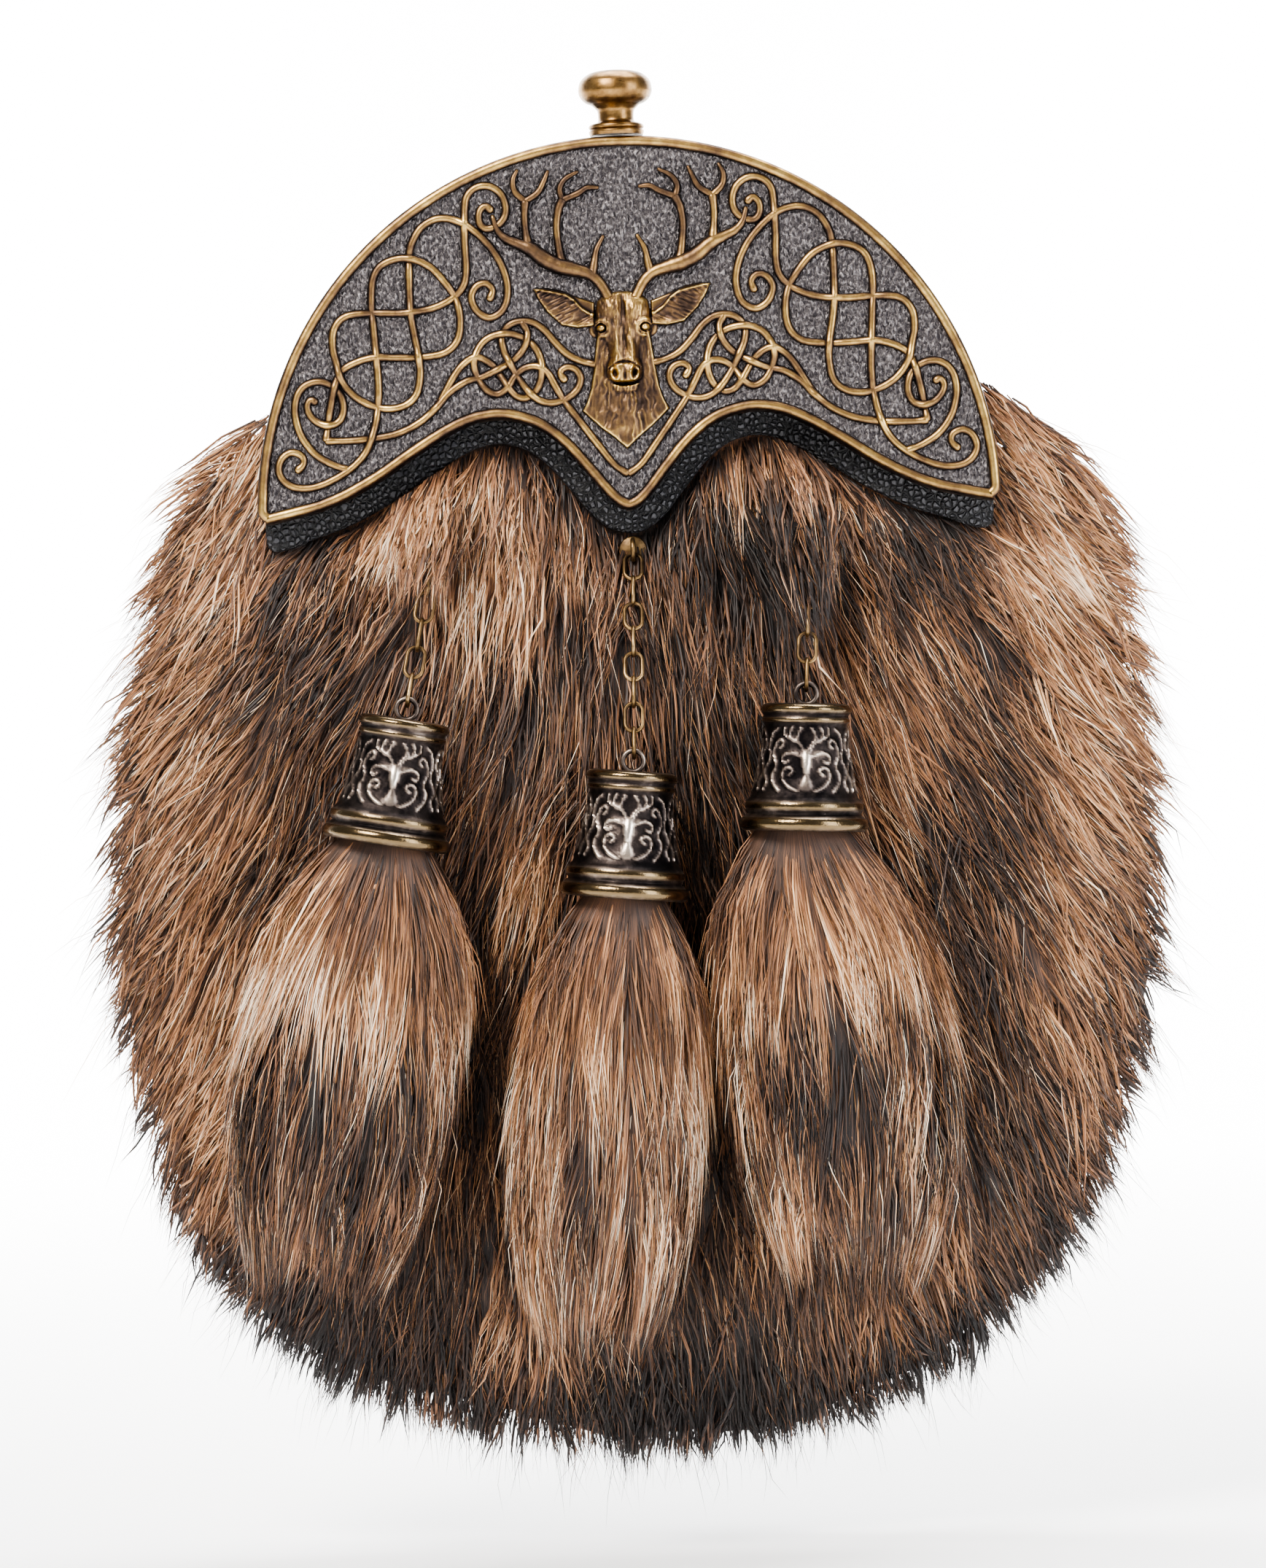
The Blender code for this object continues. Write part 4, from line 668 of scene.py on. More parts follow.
def stagMask(signed, x, z):
    # a superellipse across each row, with the features added to it
    w, crown = rowsAt(maskRows, z)
    mask = crown * (1 - np.clip(x / w, 0, 1) ** 3.2) ** 0.6
    # forehead: two lobes parted in the middle, with a bony ridge over each eye
    mask = mask + 0.55 * bump(x, z, 17, 274, 12, 13) - 0.75 * bump(x, z, 0, 276, 4.5, 20)
    orbit = np.hypot((x - 31) / 12.0, (z - 246) / 11.0)
    mask = mask + 0.55 * np.exp(-((orbit - 1) / 0.28) ** 2) - 0.75 * np.exp(-(orbit / 0.75) ** 2)
    ball = np.sqrt(np.clip(1 - ((x - 31) / 6.4) ** 2 - ((z - 246) / 5.2) ** 2, 0, 1))
    lid = np.exp(-((np.hypot((x - 31) / 8.6, (z - 246) / 7.2) - 1) / 0.15) ** 2)
    mask = mask + 1.35 * ball + 0.40 * lid - 0.35 * bump(x, z, 22, 240, 4, 4)
    # two edges down the bridge of the nose, and a hollow cheek beside them
    mask = mask + 0.60 * bump(x, z, 10, 222, 4.2, 26) - 0.35 * bump(x, z, 0, 222, 3, 26)
    mask = mask - 0.90 * bump(x, z, 25, 218, 7, 15)
    # nose pad, nostrils with raised wings, the groove between them, and the mouth
    pad = np.clip(1 - (np.maximum(x - 8, 0) / 13) ** 2 - ((z - 184) / 13.5) ** 2, 0, 1)
    mask = mask + 0.75 * pad ** 0.5 - 0.45 * np.exp(-((z - 199 + 0.02 * x ** 2) / 2.2) ** 2) * (x < 22)
    slit = np.hypot((x - 13.6 - 0.12 * (z - 184)) / 3.0, (z - 184) / 5.6)
    mask = mask - 1.30 * np.exp(-slit ** 2) + 0.35 * np.exp(-((slit - 1.9) / 0.45) ** 2)
    mask = mask - 0.50 * bump(x, z, 0, 180, 2.0, 8)
    mask = mask - 1.50 * np.exp(-((z - 168.5 - 0.010 * x ** 2) / 1.8) ** 2) * (x < 25)
    # short hair all over but on the nose pad and the eyes
    lip = smoothNoise(signed / 2.1 + 30, z / 40 + 3, 26) * np.exp(-((z - 161) / 4.5) ** 2)
    fine = smoothNoise(signed / 2.4 + 200, z / 11 + 60, 23)
    fine = fine + 0.6 * smoothNoise(signed / 1.5 + 70, z / 5 + 10, 24)
    coat = (0.11 * fine + 0.14 * lip) * smoothStep(mask, 0.5, 1.4)
    mask = mask + coat * (1 - pad) * (1 - np.clip(ball * 2, 0, 1))
    # where neither it nor the neck has any height, it is put below everything
    _, neckCrown = rowsAt(neckRows, z)
    return np.where(neckCrown + mask > 0.0, mask, -1)


def stagEars(x, z):
    # a rolled edge along the top, smooth above it, with wavy hair lines below it
    inside = insideDistance(x, z, earOutline)
    roll = np.interp(x, [44, 56, 66, 78, 95, 118], [266, 274, 286, 294, 298, 303])
    under = smoothStep(roll - z, -1, 3)
    veins = 1 - 2 * np.abs(smoothNoise((x * 0.45 + z) / 3.4 + 40, (x - z * 0.45) / 15 + 40, 25))
    leaf = 0.55 + 0.40 * under + 0.80 * np.exp(-((z - roll) / 2.3) ** 2)
    leaf = leaf - 0.55 * bump(x, z, 56, 262, 12, 7) + 0.15 * veins * under
    return np.where(inside > 0, leaf * smoothStep(inside, 0, 3.0) ** 0.6, 0)


def cantleStag():
    # one height field over the head, neck and ears: the highest of the three at each place
    scale = plate["radius"] / plate["layoutRadius"]
    # the field's half width, lowest foot and top in layout units, and its columns and rows
    halfWidth, lowest, top = 129, 74, 312
    columns, rows = 226, 208
    u = np.linspace(-halfWidth, halfWidth, columns)[None]
    edge = lowerEdge()
    foot = np.interp(np.abs(u[0]) * scale, edge[:13, 0][::-1], edge[:13, 1][::-1])
    foot = (foot - plate["centreZ"]) / scale + 16
    v = np.linspace(0, 1, rows)[:, None]
    v = np.maximum(foot, lowest) * (1 - v) + top * v
    x, z = np.broadcast_arrays(np.abs(u), v)
    signed = np.broadcast_to(u, x.shape)
    height = np.maximum(np.maximum(stagMask(signed, x, z), stagNeck(signed, x, z)), stagEars(x, z))
    sunk = 0.35
    grid = np.empty((2,) + x.shape + (3,))
    grid[..., 0] = signed * scale
    grid[..., 2] = plate["centreZ"] + z * scale
    grid[0, ..., 1] = plate["face"] + np.where(height > 0.05, 0.0, sunk) - np.clip(height, 0, None)
    grid[1, ..., 1] = plate["face"] + plate["wall"] * 0.9
    n = x.size
    r, c = x.shape
    index = np.arange(n).reshape(r, c)
    loop = np.concatenate([index[0, :-1], index[:-1, -1], index[-1, :0:-1], index[:0:-1, 0]])
    wall = np.column_stack([loop, np.roll(loop, -1), np.roll(loop, -1) + n, loop + n])
    # the back is flat, so only its border is kept, closed by one fan of triangles to a single point
    quads = np.vstack([gridQuads(r, c), wall])
    backRing = loop + n
    centre = 2 * n
    points = np.vstack([grid.reshape(-1, 3),
                        [[0, plate["face"] + plate["wall"] * 0.9, plate["centreZ"] + 190 * scale]]])
    tris = fanTris(backRing[::-1], centre)
    used = np.unique(np.concatenate([quads.ravel(), tris.ravel()]))
    renumber = np.zeros(len(points), int)
    renumber[used] = np.arange(len(used))
    # bright where it stands above its neighbourhood and dark in its hollows: worn metal and patina, with
    # painted shade in the hollows
    blur = height.copy()
    for _ in range(10):
        above, below = np.roll(blur, 1, 0), np.roll(blur, -1, 0)
        blur = (blur + above + below + np.roll(blur, 1, 1) + np.roll(blur, -1, 1)) / 5
    proud = height - blur
    rubbed = np.clip(0.33 + 1.9 * proud + 0.06 * np.clip(height, 0, 3), 0.03, 1)
    values = np.concatenate([rubbed.ravel(), np.full(n + 1, 0.2)])
    piece = addMesh("cantleStag", points[used], renumber[quads], renumber[tris], brassCast,
                    {"rubbed": values[used]}, turnOut=True)
    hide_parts("cantle")


cantleRim()
cantleGround()
cantleStrands()
cantleAntlers()
cantleStag()
print("cast plate made")


knobSizes = {
    "button": 7.2, "buttonHeight": 7.3, "neck": 3.6, "neckHeight": 3.2, "collar": 5.4, "collarHeight": 2.3,
}


def turnedPiece(name, profile, sides, material, middle, attributes=None):
    # a profile of radius and height carried once round the upright axis, closed by a pole at each end
    profile = np.asarray(profile, float)
    turn = 2 * math.pi * np.arange(sides) / sides
    ring = profile[1:-1]
    points = np.empty((len(ring), sides, 3))
    points[..., 0] = middle[0] + ring[:, :1] * np.cos(turn)
    points[..., 1] = middle[1] + ring[:, :1] * np.sin(turn)
    points[..., 2] = ring[:, 1:]
    count = len(ring) * sides
    poles = [[middle[0], middle[1], profile[0, 1]], [middle[0], middle[1], profile[-1, 1]]]
    points = np.vstack([points.reshape(-1, 3), poles])
    quads = gridQuads(len(ring), sides, closeColumns=True)
    tris = endFans(sides, count)
    return addMesh(name, points, quads, tris, material, attributes, turnOut=True)


def knobButton():
    # a flattened ball on a short neck, on a collar with a groove round it
    base = plate["centreZ"] + plate["radius"] + 0.3
    k = knobSizes
    collarTop = base + k["collarHeight"]
    neckTop = collarTop + k["neckHeight"]
    top = neckTop + k["buttonHeight"]
    r, h = k["button"], k["buttonHeight"]
    button = evenCurve([
        (0.0, top), (r * 0.35, top - h * 0.015), (r * 0.7, top - h * 0.09),
        (r * 0.93, top - h * 0.27), (r, top - h * 0.5),
        (r * 0.97, top - h * 0.68), (r * 0.84, top - h * 0.84), (r * 0.64, top - h * 0.93)], 0.35)
    neck = evenCurve([(k["neck"] * 1.12, neckTop - 0.1), (k["neck"], neckTop - 0.7),
                      (k["neck"] * 0.98, collarTop + 0.6), (k["neck"] * 1.18, collarTop)], 0.3)
    collar = evenCurve([(k["collar"] * 0.86, collarTop), (k["collar"] * 0.97, collarTop - 0.25),
                        (k["collar"], collarTop - 0.8), (k["collar"] * 0.93, collarTop - 1.15),
                        (k["collar"], collarTop - 1.5), (k["collar"] * 0.96, base)], 0.2)
    profile = np.vstack([button, neck, collar, [(0.0, base)]])
    piece = turnedPiece("knobTurned", profile, 72, brassTurned, (0.0, (plate["back"] + plate["face"]) / 2))
    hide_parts("knob")


knobButton()
print("knob made")


leatherSizes = {
    "apronBack": -32.3, "apronFront": -34.3, "apronHalfWidth": 70.7, "apronShow": 4.5, "apronInset": 1.5,
    "pouchRadius": 68.0, "pouchDrop": 145.5, "pouchDepth": 30.0, "pouchBelly": 3.5, "pouchRound": 4.0,
    "pouchSquareness": 3.0, "wall": 2.0, "mouthHalfAngle": math.radians(52.5),
    "stitch": 3.0, "stitchGap": 1.6, "stitchInset": 5,
    "loopX": 29.0, "loopWidth": 16.0, "loopHeight": 34.0, "loopGap": 4.6, "loopFoot": 6.5,
}


def apronEdge():
    # the plate's lower edge moved down along its normal, from right to left
    edge = evenCurve(lowerEdge(), 1.0)
    slope = np.gradient(edge, axis=0)
    slope /= np.linalg.norm(slope, axis=1)[:, None]
    below = edge + np.column_stack([-slope[:, 1], slope[:, 0]]) * leatherSizes["apronShow"]
    below = below[np.abs(below[:, 0]) < leatherSizes["apronHalfWidth"] - 2]
    end = (leatherSizes["apronHalfWidth"], plate["centreZ"] - leatherSizes["apronShow"] * 1.25)
    return np.vstack([[end], below, [(-end[0], end[1])]])


def apronPiece():
    # a flat piece of leather with softly rounded edges
    s = leatherSizes
    radius = plate["radius"] - s["apronInset"]
    start = math.acos(s["apronHalfWidth"] / radius)
    turn = np.linspace(start, math.pi - start, 80)
    arc = np.column_stack([radius * np.cos(turn), plate["centreZ"] + radius * np.sin(turn)])
    lower = apronEdge()[::-1]
    outline = evenCurve(np.vstack([arc, lower[:-1:2], lower[-1:]]), 1.0, closed=True)
    normal = inward(outline)
    profile = [(0.7, s["apronBack"]), (0.15, s["apronBack"] - 0.25), (0.0, s["apronBack"] - 1.0),
               (0.15, s["apronFront"] + 0.25), (0.7, s["apronFront"])]
    points = np.empty((len(profile), len(outline), 3))
    for row, (depth, y) in zip(points, profile):
        row[:, [0, 2]] = outline + normal * depth
        row[:, 1] = y
    piece = addMesh("apronLeather", points, gridQuads(len(profile), len(outline), closeColumns=True), [],
                    leather)
    bm = bmesh.new()
    bm.from_mesh(piece.data)
    bmesh.ops.holes_fill(bm, edges=bm.edges)
    bmesh.ops.recalc_face_normals(bm, faces=bm.faces)
    bm.to_mesh(piece.data)
    bm.free()
    piece.data.shade_smooth()
    piece.data.set_sharp_from_angle(angle=sharpAngle)
    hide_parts("leather_apron")


def pouchEdge(count):
    # closed edge of the pouch, clockwise from the top: a half circle, and a squarish curve below it
    s = leatherSizes
    turn = 2 * math.pi * np.arange(count) / count
    upper = np.cos(turn) >= 0
    power = 2 / s["pouchSquareness"]
    across, up = np.abs(np.sin(turn)), np.abs(np.cos(turn))
    x = np.sign(np.sin(turn)) * np.where(upper, s["pouchRadius"] * across, s["pouchRadius"] * across ** power)
    z = np.where(upper, s["pouchRadius"] * up, -s["pouchDrop"] * up ** power)
    return np.column_stack([x, plate["centreZ"] + z]), turn


def bellyAt(x, z):
    # how far the pouch's front swells: a paraboloid round its middle
    s = leatherSizes
    middle = plate["centreZ"] - s["pouchDrop"] * 0.55
    share = (x / s["pouchRadius"]) ** 2 + ((z - middle) / (s["pouchDrop"] * 0.47)) ** 2
    return s["pouchBelly"] * np.maximum(0, 1 - share)


def pouchShell():
    # front, gusset and back as rings of the same edge, drawn in towards a centre
    # the gusset is left out at the mouth
    s = leatherSizes
    count = 120
    edge, turn = pouchEdge(count)
    centre = np.array([0.0, plate["centreZ"] - s["pouchDrop"] * 0.3])
    depth, r = s["pouchDepth"], s["pouchRound"]
    near = 1 - r * 0.45 / s["pouchRadius"]
    rows = [(0.25, -depth), (0.5, -depth), (0.7, -depth), (0.85, -depth),
            (near - 0.02, -depth), (near, -depth + 0.15), ((near + 1) / 2, -depth + 0.6),
            (1.0, -depth + r * 0.5), (1.0, -depth + 7), (1.0, -depth / 2), (1.0, -7.0),
            (1.0, -r * 0.5), ((near + 1) / 2, -0.6), (near, -0.15),
            (near - 0.02, 0.0), (0.85, 0.0), (0.6, 0.0), (0.3, 0.0)]
    points = np.empty((len(rows), count, 3))
    for row, (share, y) in zip(points, rows):
        place = centre + (edge - centre) * share
        row[:, [0, 2]] = place
        row[:, 1] = y - (bellyAt(place[:, 0], place[:, 1]) if y < -depth * 0.97 else 0)
    quads = gridQuads(len(rows), count, closeColumns=True).reshape(len(rows) - 1, count, 4)
    wrapped = np.minimum(turn, 2 * math.pi - turn)
    atMouth = np.maximum(wrapped, np.roll(wrapped, -1)) <= s["mouthHalfAngle"] + 0.01
    # rows 7 to 10 of the quads are the gusset
    keep = np.ones(quads.shape[:2], bool)
    keep[7:11, atMouth] = False
    poles = [[0, -depth - bellyAt(0, centre[1]), centre[1]], [0, 0, centre[1]]]
    total = len(rows) * count
    tris = endFans(count, total)
    points = np.vstack([points.reshape(-1, 3), poles])
    piece = addMesh("pouchLeather", points, quads[keep], tris, leather, turnOut=True)
    bm = bmesh.new()
    bm.from_mesh(piece.data)
    bmesh.ops.delete(bm, geom=[v for v in bm.verts if not v.link_faces], context="VERTS")
    bm.faces.ensure_lookup_table()
    backFace = max(bm.faces, key=lambda f: f.calc_center_median().y)
    if backFace.normal.y < 0:
        bmesh.ops.reverse_faces(bm, faces=bm.faces)
    bm.to_mesh(piece.data)
    bm.free()
    wall = piece.modifiers.new("wall", "SOLIDIFY")
    wall.thickness = s["wall"] * millimetre
    wall.offset = -1
    wall.use_even_offset = True
    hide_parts("pouch")


def stitchRow(path, normal, parts):
    # short raised stitches at equal steps along a path: each a low boat of 25 points
    s = leatherSizes
    pitch = s["stitch"] + s["stitchGap"]
    line = evenCurve(path, pitch)
    middle = (line[1:] + line[:-1]) / 2
    along = line[1:] - line[:-1]
    along /= np.linalg.norm(along, axis=1)[:, None]
    side = np.cross(along, normal)
    rows = [(-0.5, 0.05), (-0.36, 0.85), (0.0, 1.0), (0.36, 0.85), (0.5, 0.05)]
    section = [(0.30, -0.12), (0.27, 0.14), (0.0, 0.28), (-0.27, 0.14), (-0.30, -0.12)]
    for m, a, b in zip(middle, along, side):
        ring = np.array([[m + a * s["stitch"] * t + (b * p + np.asarray(normal) * q) * w
                          for p, q in section] for t, w in rows])
        quads = gridQuads(5, 5, closeColumns=True)
        tris = [(0, 1, 2), (0, 2, 3), (0, 3, 4), (20, 22, 21), (20, 23, 22), (20, 24, 23)]
        parts.append((ring.reshape(-1, 3), quads, tris, np.zeros(25)))


def leatherStitches():
    # a row round the back panel, in from its edge, and a row across each foot of the belt loops
    s = leatherSizes
    parts = []
    edge, _ = pouchEdge(160)
    inset = edge[::-1] + inward(edge[::-1]) * s["stitchInset"]
    stitchRow(np.column_stack([inset[:, 0], np.full(len(inset), 0.02), inset[:, 1]]), (0.0, 1.0, 0.0), parts)
    for x in (-s["loopX"], s["loopX"]):
        for z in (s["loopHeight"] / 2 - 2.0, -s["loopHeight"] / 2 + 2.0):
            path = np.array([(x - 6.0, 0.3 + s["wall"], z), (x + 6.0, 0.3 + s["wall"], z)])
            stitchRow(path, (0.0, 1.0, 0.0), parts)
    points, quads, tris, _ = joined(parts)
    piece = addMesh("leatherStitches", points, quads, tris, thread, turnOut=True)


def beltLoop(side):
    # a strap's section, rounded at its edges, carried along the loop's path from foot to foot
    s = leatherSizes
    half, near, far, foot, wall = s["loopHeight"] / 2, 0.3, s["loopGap"], s["loopFoot"], s["wall"]
    ramp = s["loopGap"] * 0.45
    path = evenCurve([(near, -half), (near, -half + foot * 0.55), (near + 0.25, -half + foot * 0.95),
                      (far - 0.4, -half + foot + ramp * 0.8), (far, -half + foot + ramp * 1.5), (far, 0),
                      (far, half - foot - ramp * 1.5), (far - 0.4, half - foot - ramp * 0.8),
                      (near + 0.25, half - foot * 0.95), (near, half - foot * 0.55), (near, half)], 0.8)
    along = np.gradient(path, axis=0)
    along /= np.linalg.norm(along, axis=1)[:, None]
    out = np.column_stack([along[:, 1], -along[:, 0]])
    w = s["loopWidth"] / 2
    section = np.array([(-w + 0.4, 0), (w - 0.4, 0), (w, 0.4), (w, wall - 0.5), (w - 0.5, wall),
                        (-w + 0.5, wall), (-w, wall - 0.5), (-w, 0.4)])
    points = np.empty((len(path), 8, 3))
    points[..., 0] = side * s["loopX"] + section[:, 0]
    points[..., 1] = path[:, :1] + out[:, :1] * section[:, 1]
    points[..., 2] = path[:, 1:] + out[:, 1:] * section[:, 1]
    count = len(path) * 8
    ends = np.vstack([points[0].mean(axis=0), points[-1].mean(axis=0)])
    tris = endFans(8, count)
    name = "beltLoopLeft" if side < 0 else "beltLoopRight"
    piece = addMesh(name, np.vstack([points.reshape(-1, 3), ends]),
                    gridQuads(len(path), 8, closeColumns=True), tris, leather, turnOut=True)
    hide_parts("strap_loop_left" if side < 0 else "strap_loop_right")


apronPiece()
pouchShell()
leatherStitches()
beltLoop(-1)
beltLoop(1)
print("leather made")


fur = {
    "pouchFace": -30.6, "pouchSide": -19.0, "rimFrontY": -25.0, "rimBackY": -22.0,
    "centre": (0.0, -110.0), "skin": -32.0, "front": -43.0, "loftRun": 30.0, "flat": 3.0, "tipY": -20.0,
    "locks": 1900, "blades": 18000, "hairs": 19000, "hemHairs": 5800,
    "shoulderHairs": 2600, "length": 30.0, "bladeWidth": 0.28, "width": 0.085, "seed": 7,
    "rootsX": (-112, 110), "rootsZ": (-228, -11), "hemX": (-70, 70),
    "shoulderX": (67, 90), "shoulderZ": (-46, -11), "shortest": 6.0, "rimRootY": -31, "hiddenRootY": -30.5,
}

# the two side chains: where each comes out from under the hair, in x and z
sideChains = [(-40.5, -56.0), (33.5, -65.0)]

# a hair from root to point: shares of its length, and the share of its width there
hairStations = [0, 0.33, 0.67, 1]
hairTaper = [0.8, 1.0, 0.72, 0.0]

# outer ends of the hair: columns x and z, clockwise from the left top
furOutlineTable = [
    (-68, -3), (-80, -7), (-90, -17), (-98, -33), (-104, -58),
    (-110, -76), (-112, -104), (-112, -133), (-108, -147),
    (-101, -176), (-86, -198), (-68, -213), (-44, -223), (-9, -229), (27, -227), (56, -217), (75, -203),
    (91, -185), (101, -162), (107, -140), (109, -112), (109, -84),
    (107, -62), (102, -40), (95, -20), (84, -8), (72, -2), (52, 8), (0, 18), (-52, 8),
]

# coloured patches: columns x, z, half width, half height, turn in degrees, and tone, 0 black to 1 cream
patchTable = [
    (-93, -88, 20, 74, 6, 0.66), (-84, -150, 17, 34, -14, 0.67),
    (-82, -42, 13, 16, 0, 0.75), (-60, -74, 11, 31, 14, 0.27),
    (-62, -50, 8, 9, 20, 0.24), (-46, -36, 13, 10, 20, 0.72),
    (-30, -31, 10, 7, 0, 0.66), (-26, -53, 11, 9, 0, 0.78),
    (-44, -64, 9, 12, 20, 0.36), (-24, -72, 11, 13, 0, 0.20),
    (-22, -106, 6, 12, 0, 0.72), (-6, -46, 10, 8, 0, 0.52),
    (4, -60, 9, 12, 0, 0.26), (25, -45, 18, 9, 0, 0.10), (24, -28, 16, 8, 0, 0.74), (50, -34, 13, 8, 0, 0.68),
    (56, -52, 15, 10, 12, 0.18), (60, -66, 8, 11, -8, 0.58),
    (91, -86, 18, 70, -5, 0.66), (82, -43, 12, 15, 0, 0.77),
    (84, -152, 15, 32, 12, 0.63), (62, -104, 11, 38, -4, 0.18),
    (12, -84, 14, 24, 0, 0.18), (-6, -84, 6, 16, 0, 0.40),
    (69, -150, 9, 22, 8, 0.30), (-62, -128, 10, 30, 4, 0.24),
    (-50, -188, 15, 10, -16, 0.22), (-72, -188, 12, 10, -24, 0.34),
    (-28, -199, 12, 11, 0, 0.52), (3, -212, 26, 12, 0, 0.18),
    (42, -196, 13, 10, 10, 0.60), (58, -205, 15, 9, 18, 0.26),
    (64, -180, 13, 10, 20, 0.58), (24, -186, 10, 10, 0, 0.30),
    (-78, -24, 12, 10, 0, 0.80), (80, -22, 13, 11, 0, 0.78),
]


def edgeHeight(x):
    # height of the apron's lower edge
    edge = apronEdge()
    return np.interp(x, edge[::-1, 0], edge[::-1, 1])


def furFront(x, z):
    # front of the hair: bare skin under the apron, rising out from below its edge as a quarter sine
    below = np.maximum(0, edgeHeight(x) - z - fur["flat"])
    side = np.maximum(0, np.abs(x) - plate["radius"] - fur["flat"] * 2) / 2
    loft = np.sin(np.clip(np.maximum(below, side) / fur["loftRun"], 0, 1) * math.pi / 2)
    skin = fur["skin"] - bellyAt(x, z)
    return skin + (fur["front"] - fur["skin"]) * loft


def furReach(x, z):
    # share of the way from the fur's centre to its outer ends, and the full reach in that direction
    outline = evenCurve(np.array(furOutlineTable, float), 2.0, closed=True) - fur["centre"]
    angle = np.arctan2(outline[:, 0], outline[:, 1])
    order = np.argsort(angle)
    reach = np.linalg.norm(outline, axis=1)[order]
    angle = angle[order]
    dx, dz = x - fur["centre"][0], z - fur["centre"][1]
    full = np.interp(np.arctan2(dx, dz), angle, reach, period=2 * math.pi)
    return np.hypot(dx, dz) / full, full


def furFlow(x, z):
    # which way the hair lies: outward from a high centre, turned down by its weight
    dx, dz = x, z + 85 + 45 * smoothStep(-z, 120, 200)
    length = np.hypot(dx, dz) + 1e-6
    out = 0.16 + 0.62 * np.clip(np.abs(x) / 100, 0, 1) ** 1.6
    down = 0.50 + 0.32 * np.clip((z + 210) / 150, 0, 1)
    fx, fz = dx / length * out, np.minimum(dz / length, 0.62) * out - down
    size = np.hypot(fx, fz)
    return fx / size, fz / size


def patchTone(x, z):
    # the coat's colour: mottling stretched along the hair, pulled to each patch's tone near its middle
    fx, fz = furFlow(x, z)
    along, across = x * fx + z * fz, x * fz - z * fx
    mottle = smoothNoise(across / 5.5 + 80, along / 15 + 80, 31)
    mottle = mottle + 0.5 * smoothNoise(across / 2.6 + 30, along / 8 + 30, 32)
    tone = 0.36 + 0.17 * mottle
    for px, pz, rx, rz, turn, value in patchTable:
        c, s = math.cos(math.radians(turn)), math.sin(math.radians(turn))
        u, v = (x - px) * c + (z - pz) * s, (z - pz) * c - (x - px) * s
        weight = 0.9 * np.exp(-((u / rx) ** 2 + (v / rz) ** 2) ** 1.5)
        tone = tone * (1 - weight) + (value + 0.08 * mottle) * weight
    return tone


def strands(paths, radii, side, tone, flat=1.0):
    # three-sided spikes: rings along each path and a point
    # flat below 1 makes them blades with their broad side out
    count, rings = paths.shape[0], paths.shape[1] - 1
    along = np.gradient(paths, axis=1)
    along /= np.linalg.norm(along, axis=2)[..., None] + 1e-12
    a = np.cross(along, np.cross(side[:, None], along))
    a /= np.linalg.norm(a, axis=2)[..., None] + 1e-12
    b = np.cross(along, a)
    turn = 2 * math.pi * np.arange(3) / 3
    ring = a[:, :rings, None] * flat * np.cos(turn)[:, None] + b[:, :rings, None] * np.sin(turn)[:, None]
    body = paths[:, :rings, None] + ring * radii[:, :rings, None, None]
    points = np.concatenate([body.reshape(count, rings * 3, 3), paths[:, -1:]], axis=1)
    size = rings * 3 + 1
    quads = gridQuads(rings, 3, closeColumns=True)
    tris = np.vstack([[(0, 2, 1)], fanTris(np.arange(3) + (rings - 1) * 3, size - 1)])
    start = (np.arange(count) * size)[:, None, None]
    # tone, millimetres across and along, and a number for each spike
    broad = radii.max(axis=1)[:, None, None] * np.sin(turn)
    run = np.cumsum(np.linalg.norm(np.diff(paths, axis=1), axis=2), axis=1)
    run = np.concatenate([np.zeros((count, 1)), run], axis=1)
    values = np.empty((count, size, 4))
    values[:, :-1, 0], values[:, -1, 0] = np.repeat(tone[:, :rings], 3, axis=1), tone[:, -1]
    values[:, :-1, 1], values[:, -1, 1] = np.broadcast_to(broad, (count, rings, 3)).reshape(count, -1), 0
    values[:, :-1, 2], values[:, -1, 2] = np.repeat(run[:, :rings], 3, axis=1), run[:, -1]
    values[..., 3] = np.arange(count)[:, None] * 3.7
    quads, tris = (start + quads).reshape(-1, 4), (start + tris).reshape(-1, 3)
    return points.reshape(-1, 3), quads, tris, values.reshape(-1, 4)


def hairPaths(root, tip, lift, rng, stations=4):
    # from root to tip, bowed out of the coat by lift and waved a little across
    t = np.linspace(0, 1, stations)[None, :, None]
    run = tip - root
    across = np.cross(run, [0.0, 1.0, 0.0])
    across /= np.linalg.norm(across, axis=1)[:, None] + 1e-9
    wave = rng.normal(0, 0.045, (len(root), 1, 1)) * np.linalg.norm(run, axis=1)[:, None, None]
    second = rng.normal(0, 0.02, (len(root), 1, 1)) * np.linalg.norm(run, axis=1)[:, None, None]
    path = root[:, None] + run[:, None] * t
    path = path + across[:, None] * (wave * np.sin(math.pi * t) + second * np.sin(2 * math.pi * t))
    path[..., 1] -= (lift[:, None] * np.sin(math.pi * t[..., 0]))
    return path


def overChain(x, z):
    # how far forward the hair is lifted where it lies over the top of a side chain
    lift = np.zeros(np.shape(x))
    for chainX, low in sideChains:
        reach = smoothStep(z, low - 4, low + 2) * np.exp(-((x - chainX) / 6.5) ** 4)
        lift = np.maximum(lift, reach * np.interp(z, [-72, -32], [15.0, 10.0]))
    return lift


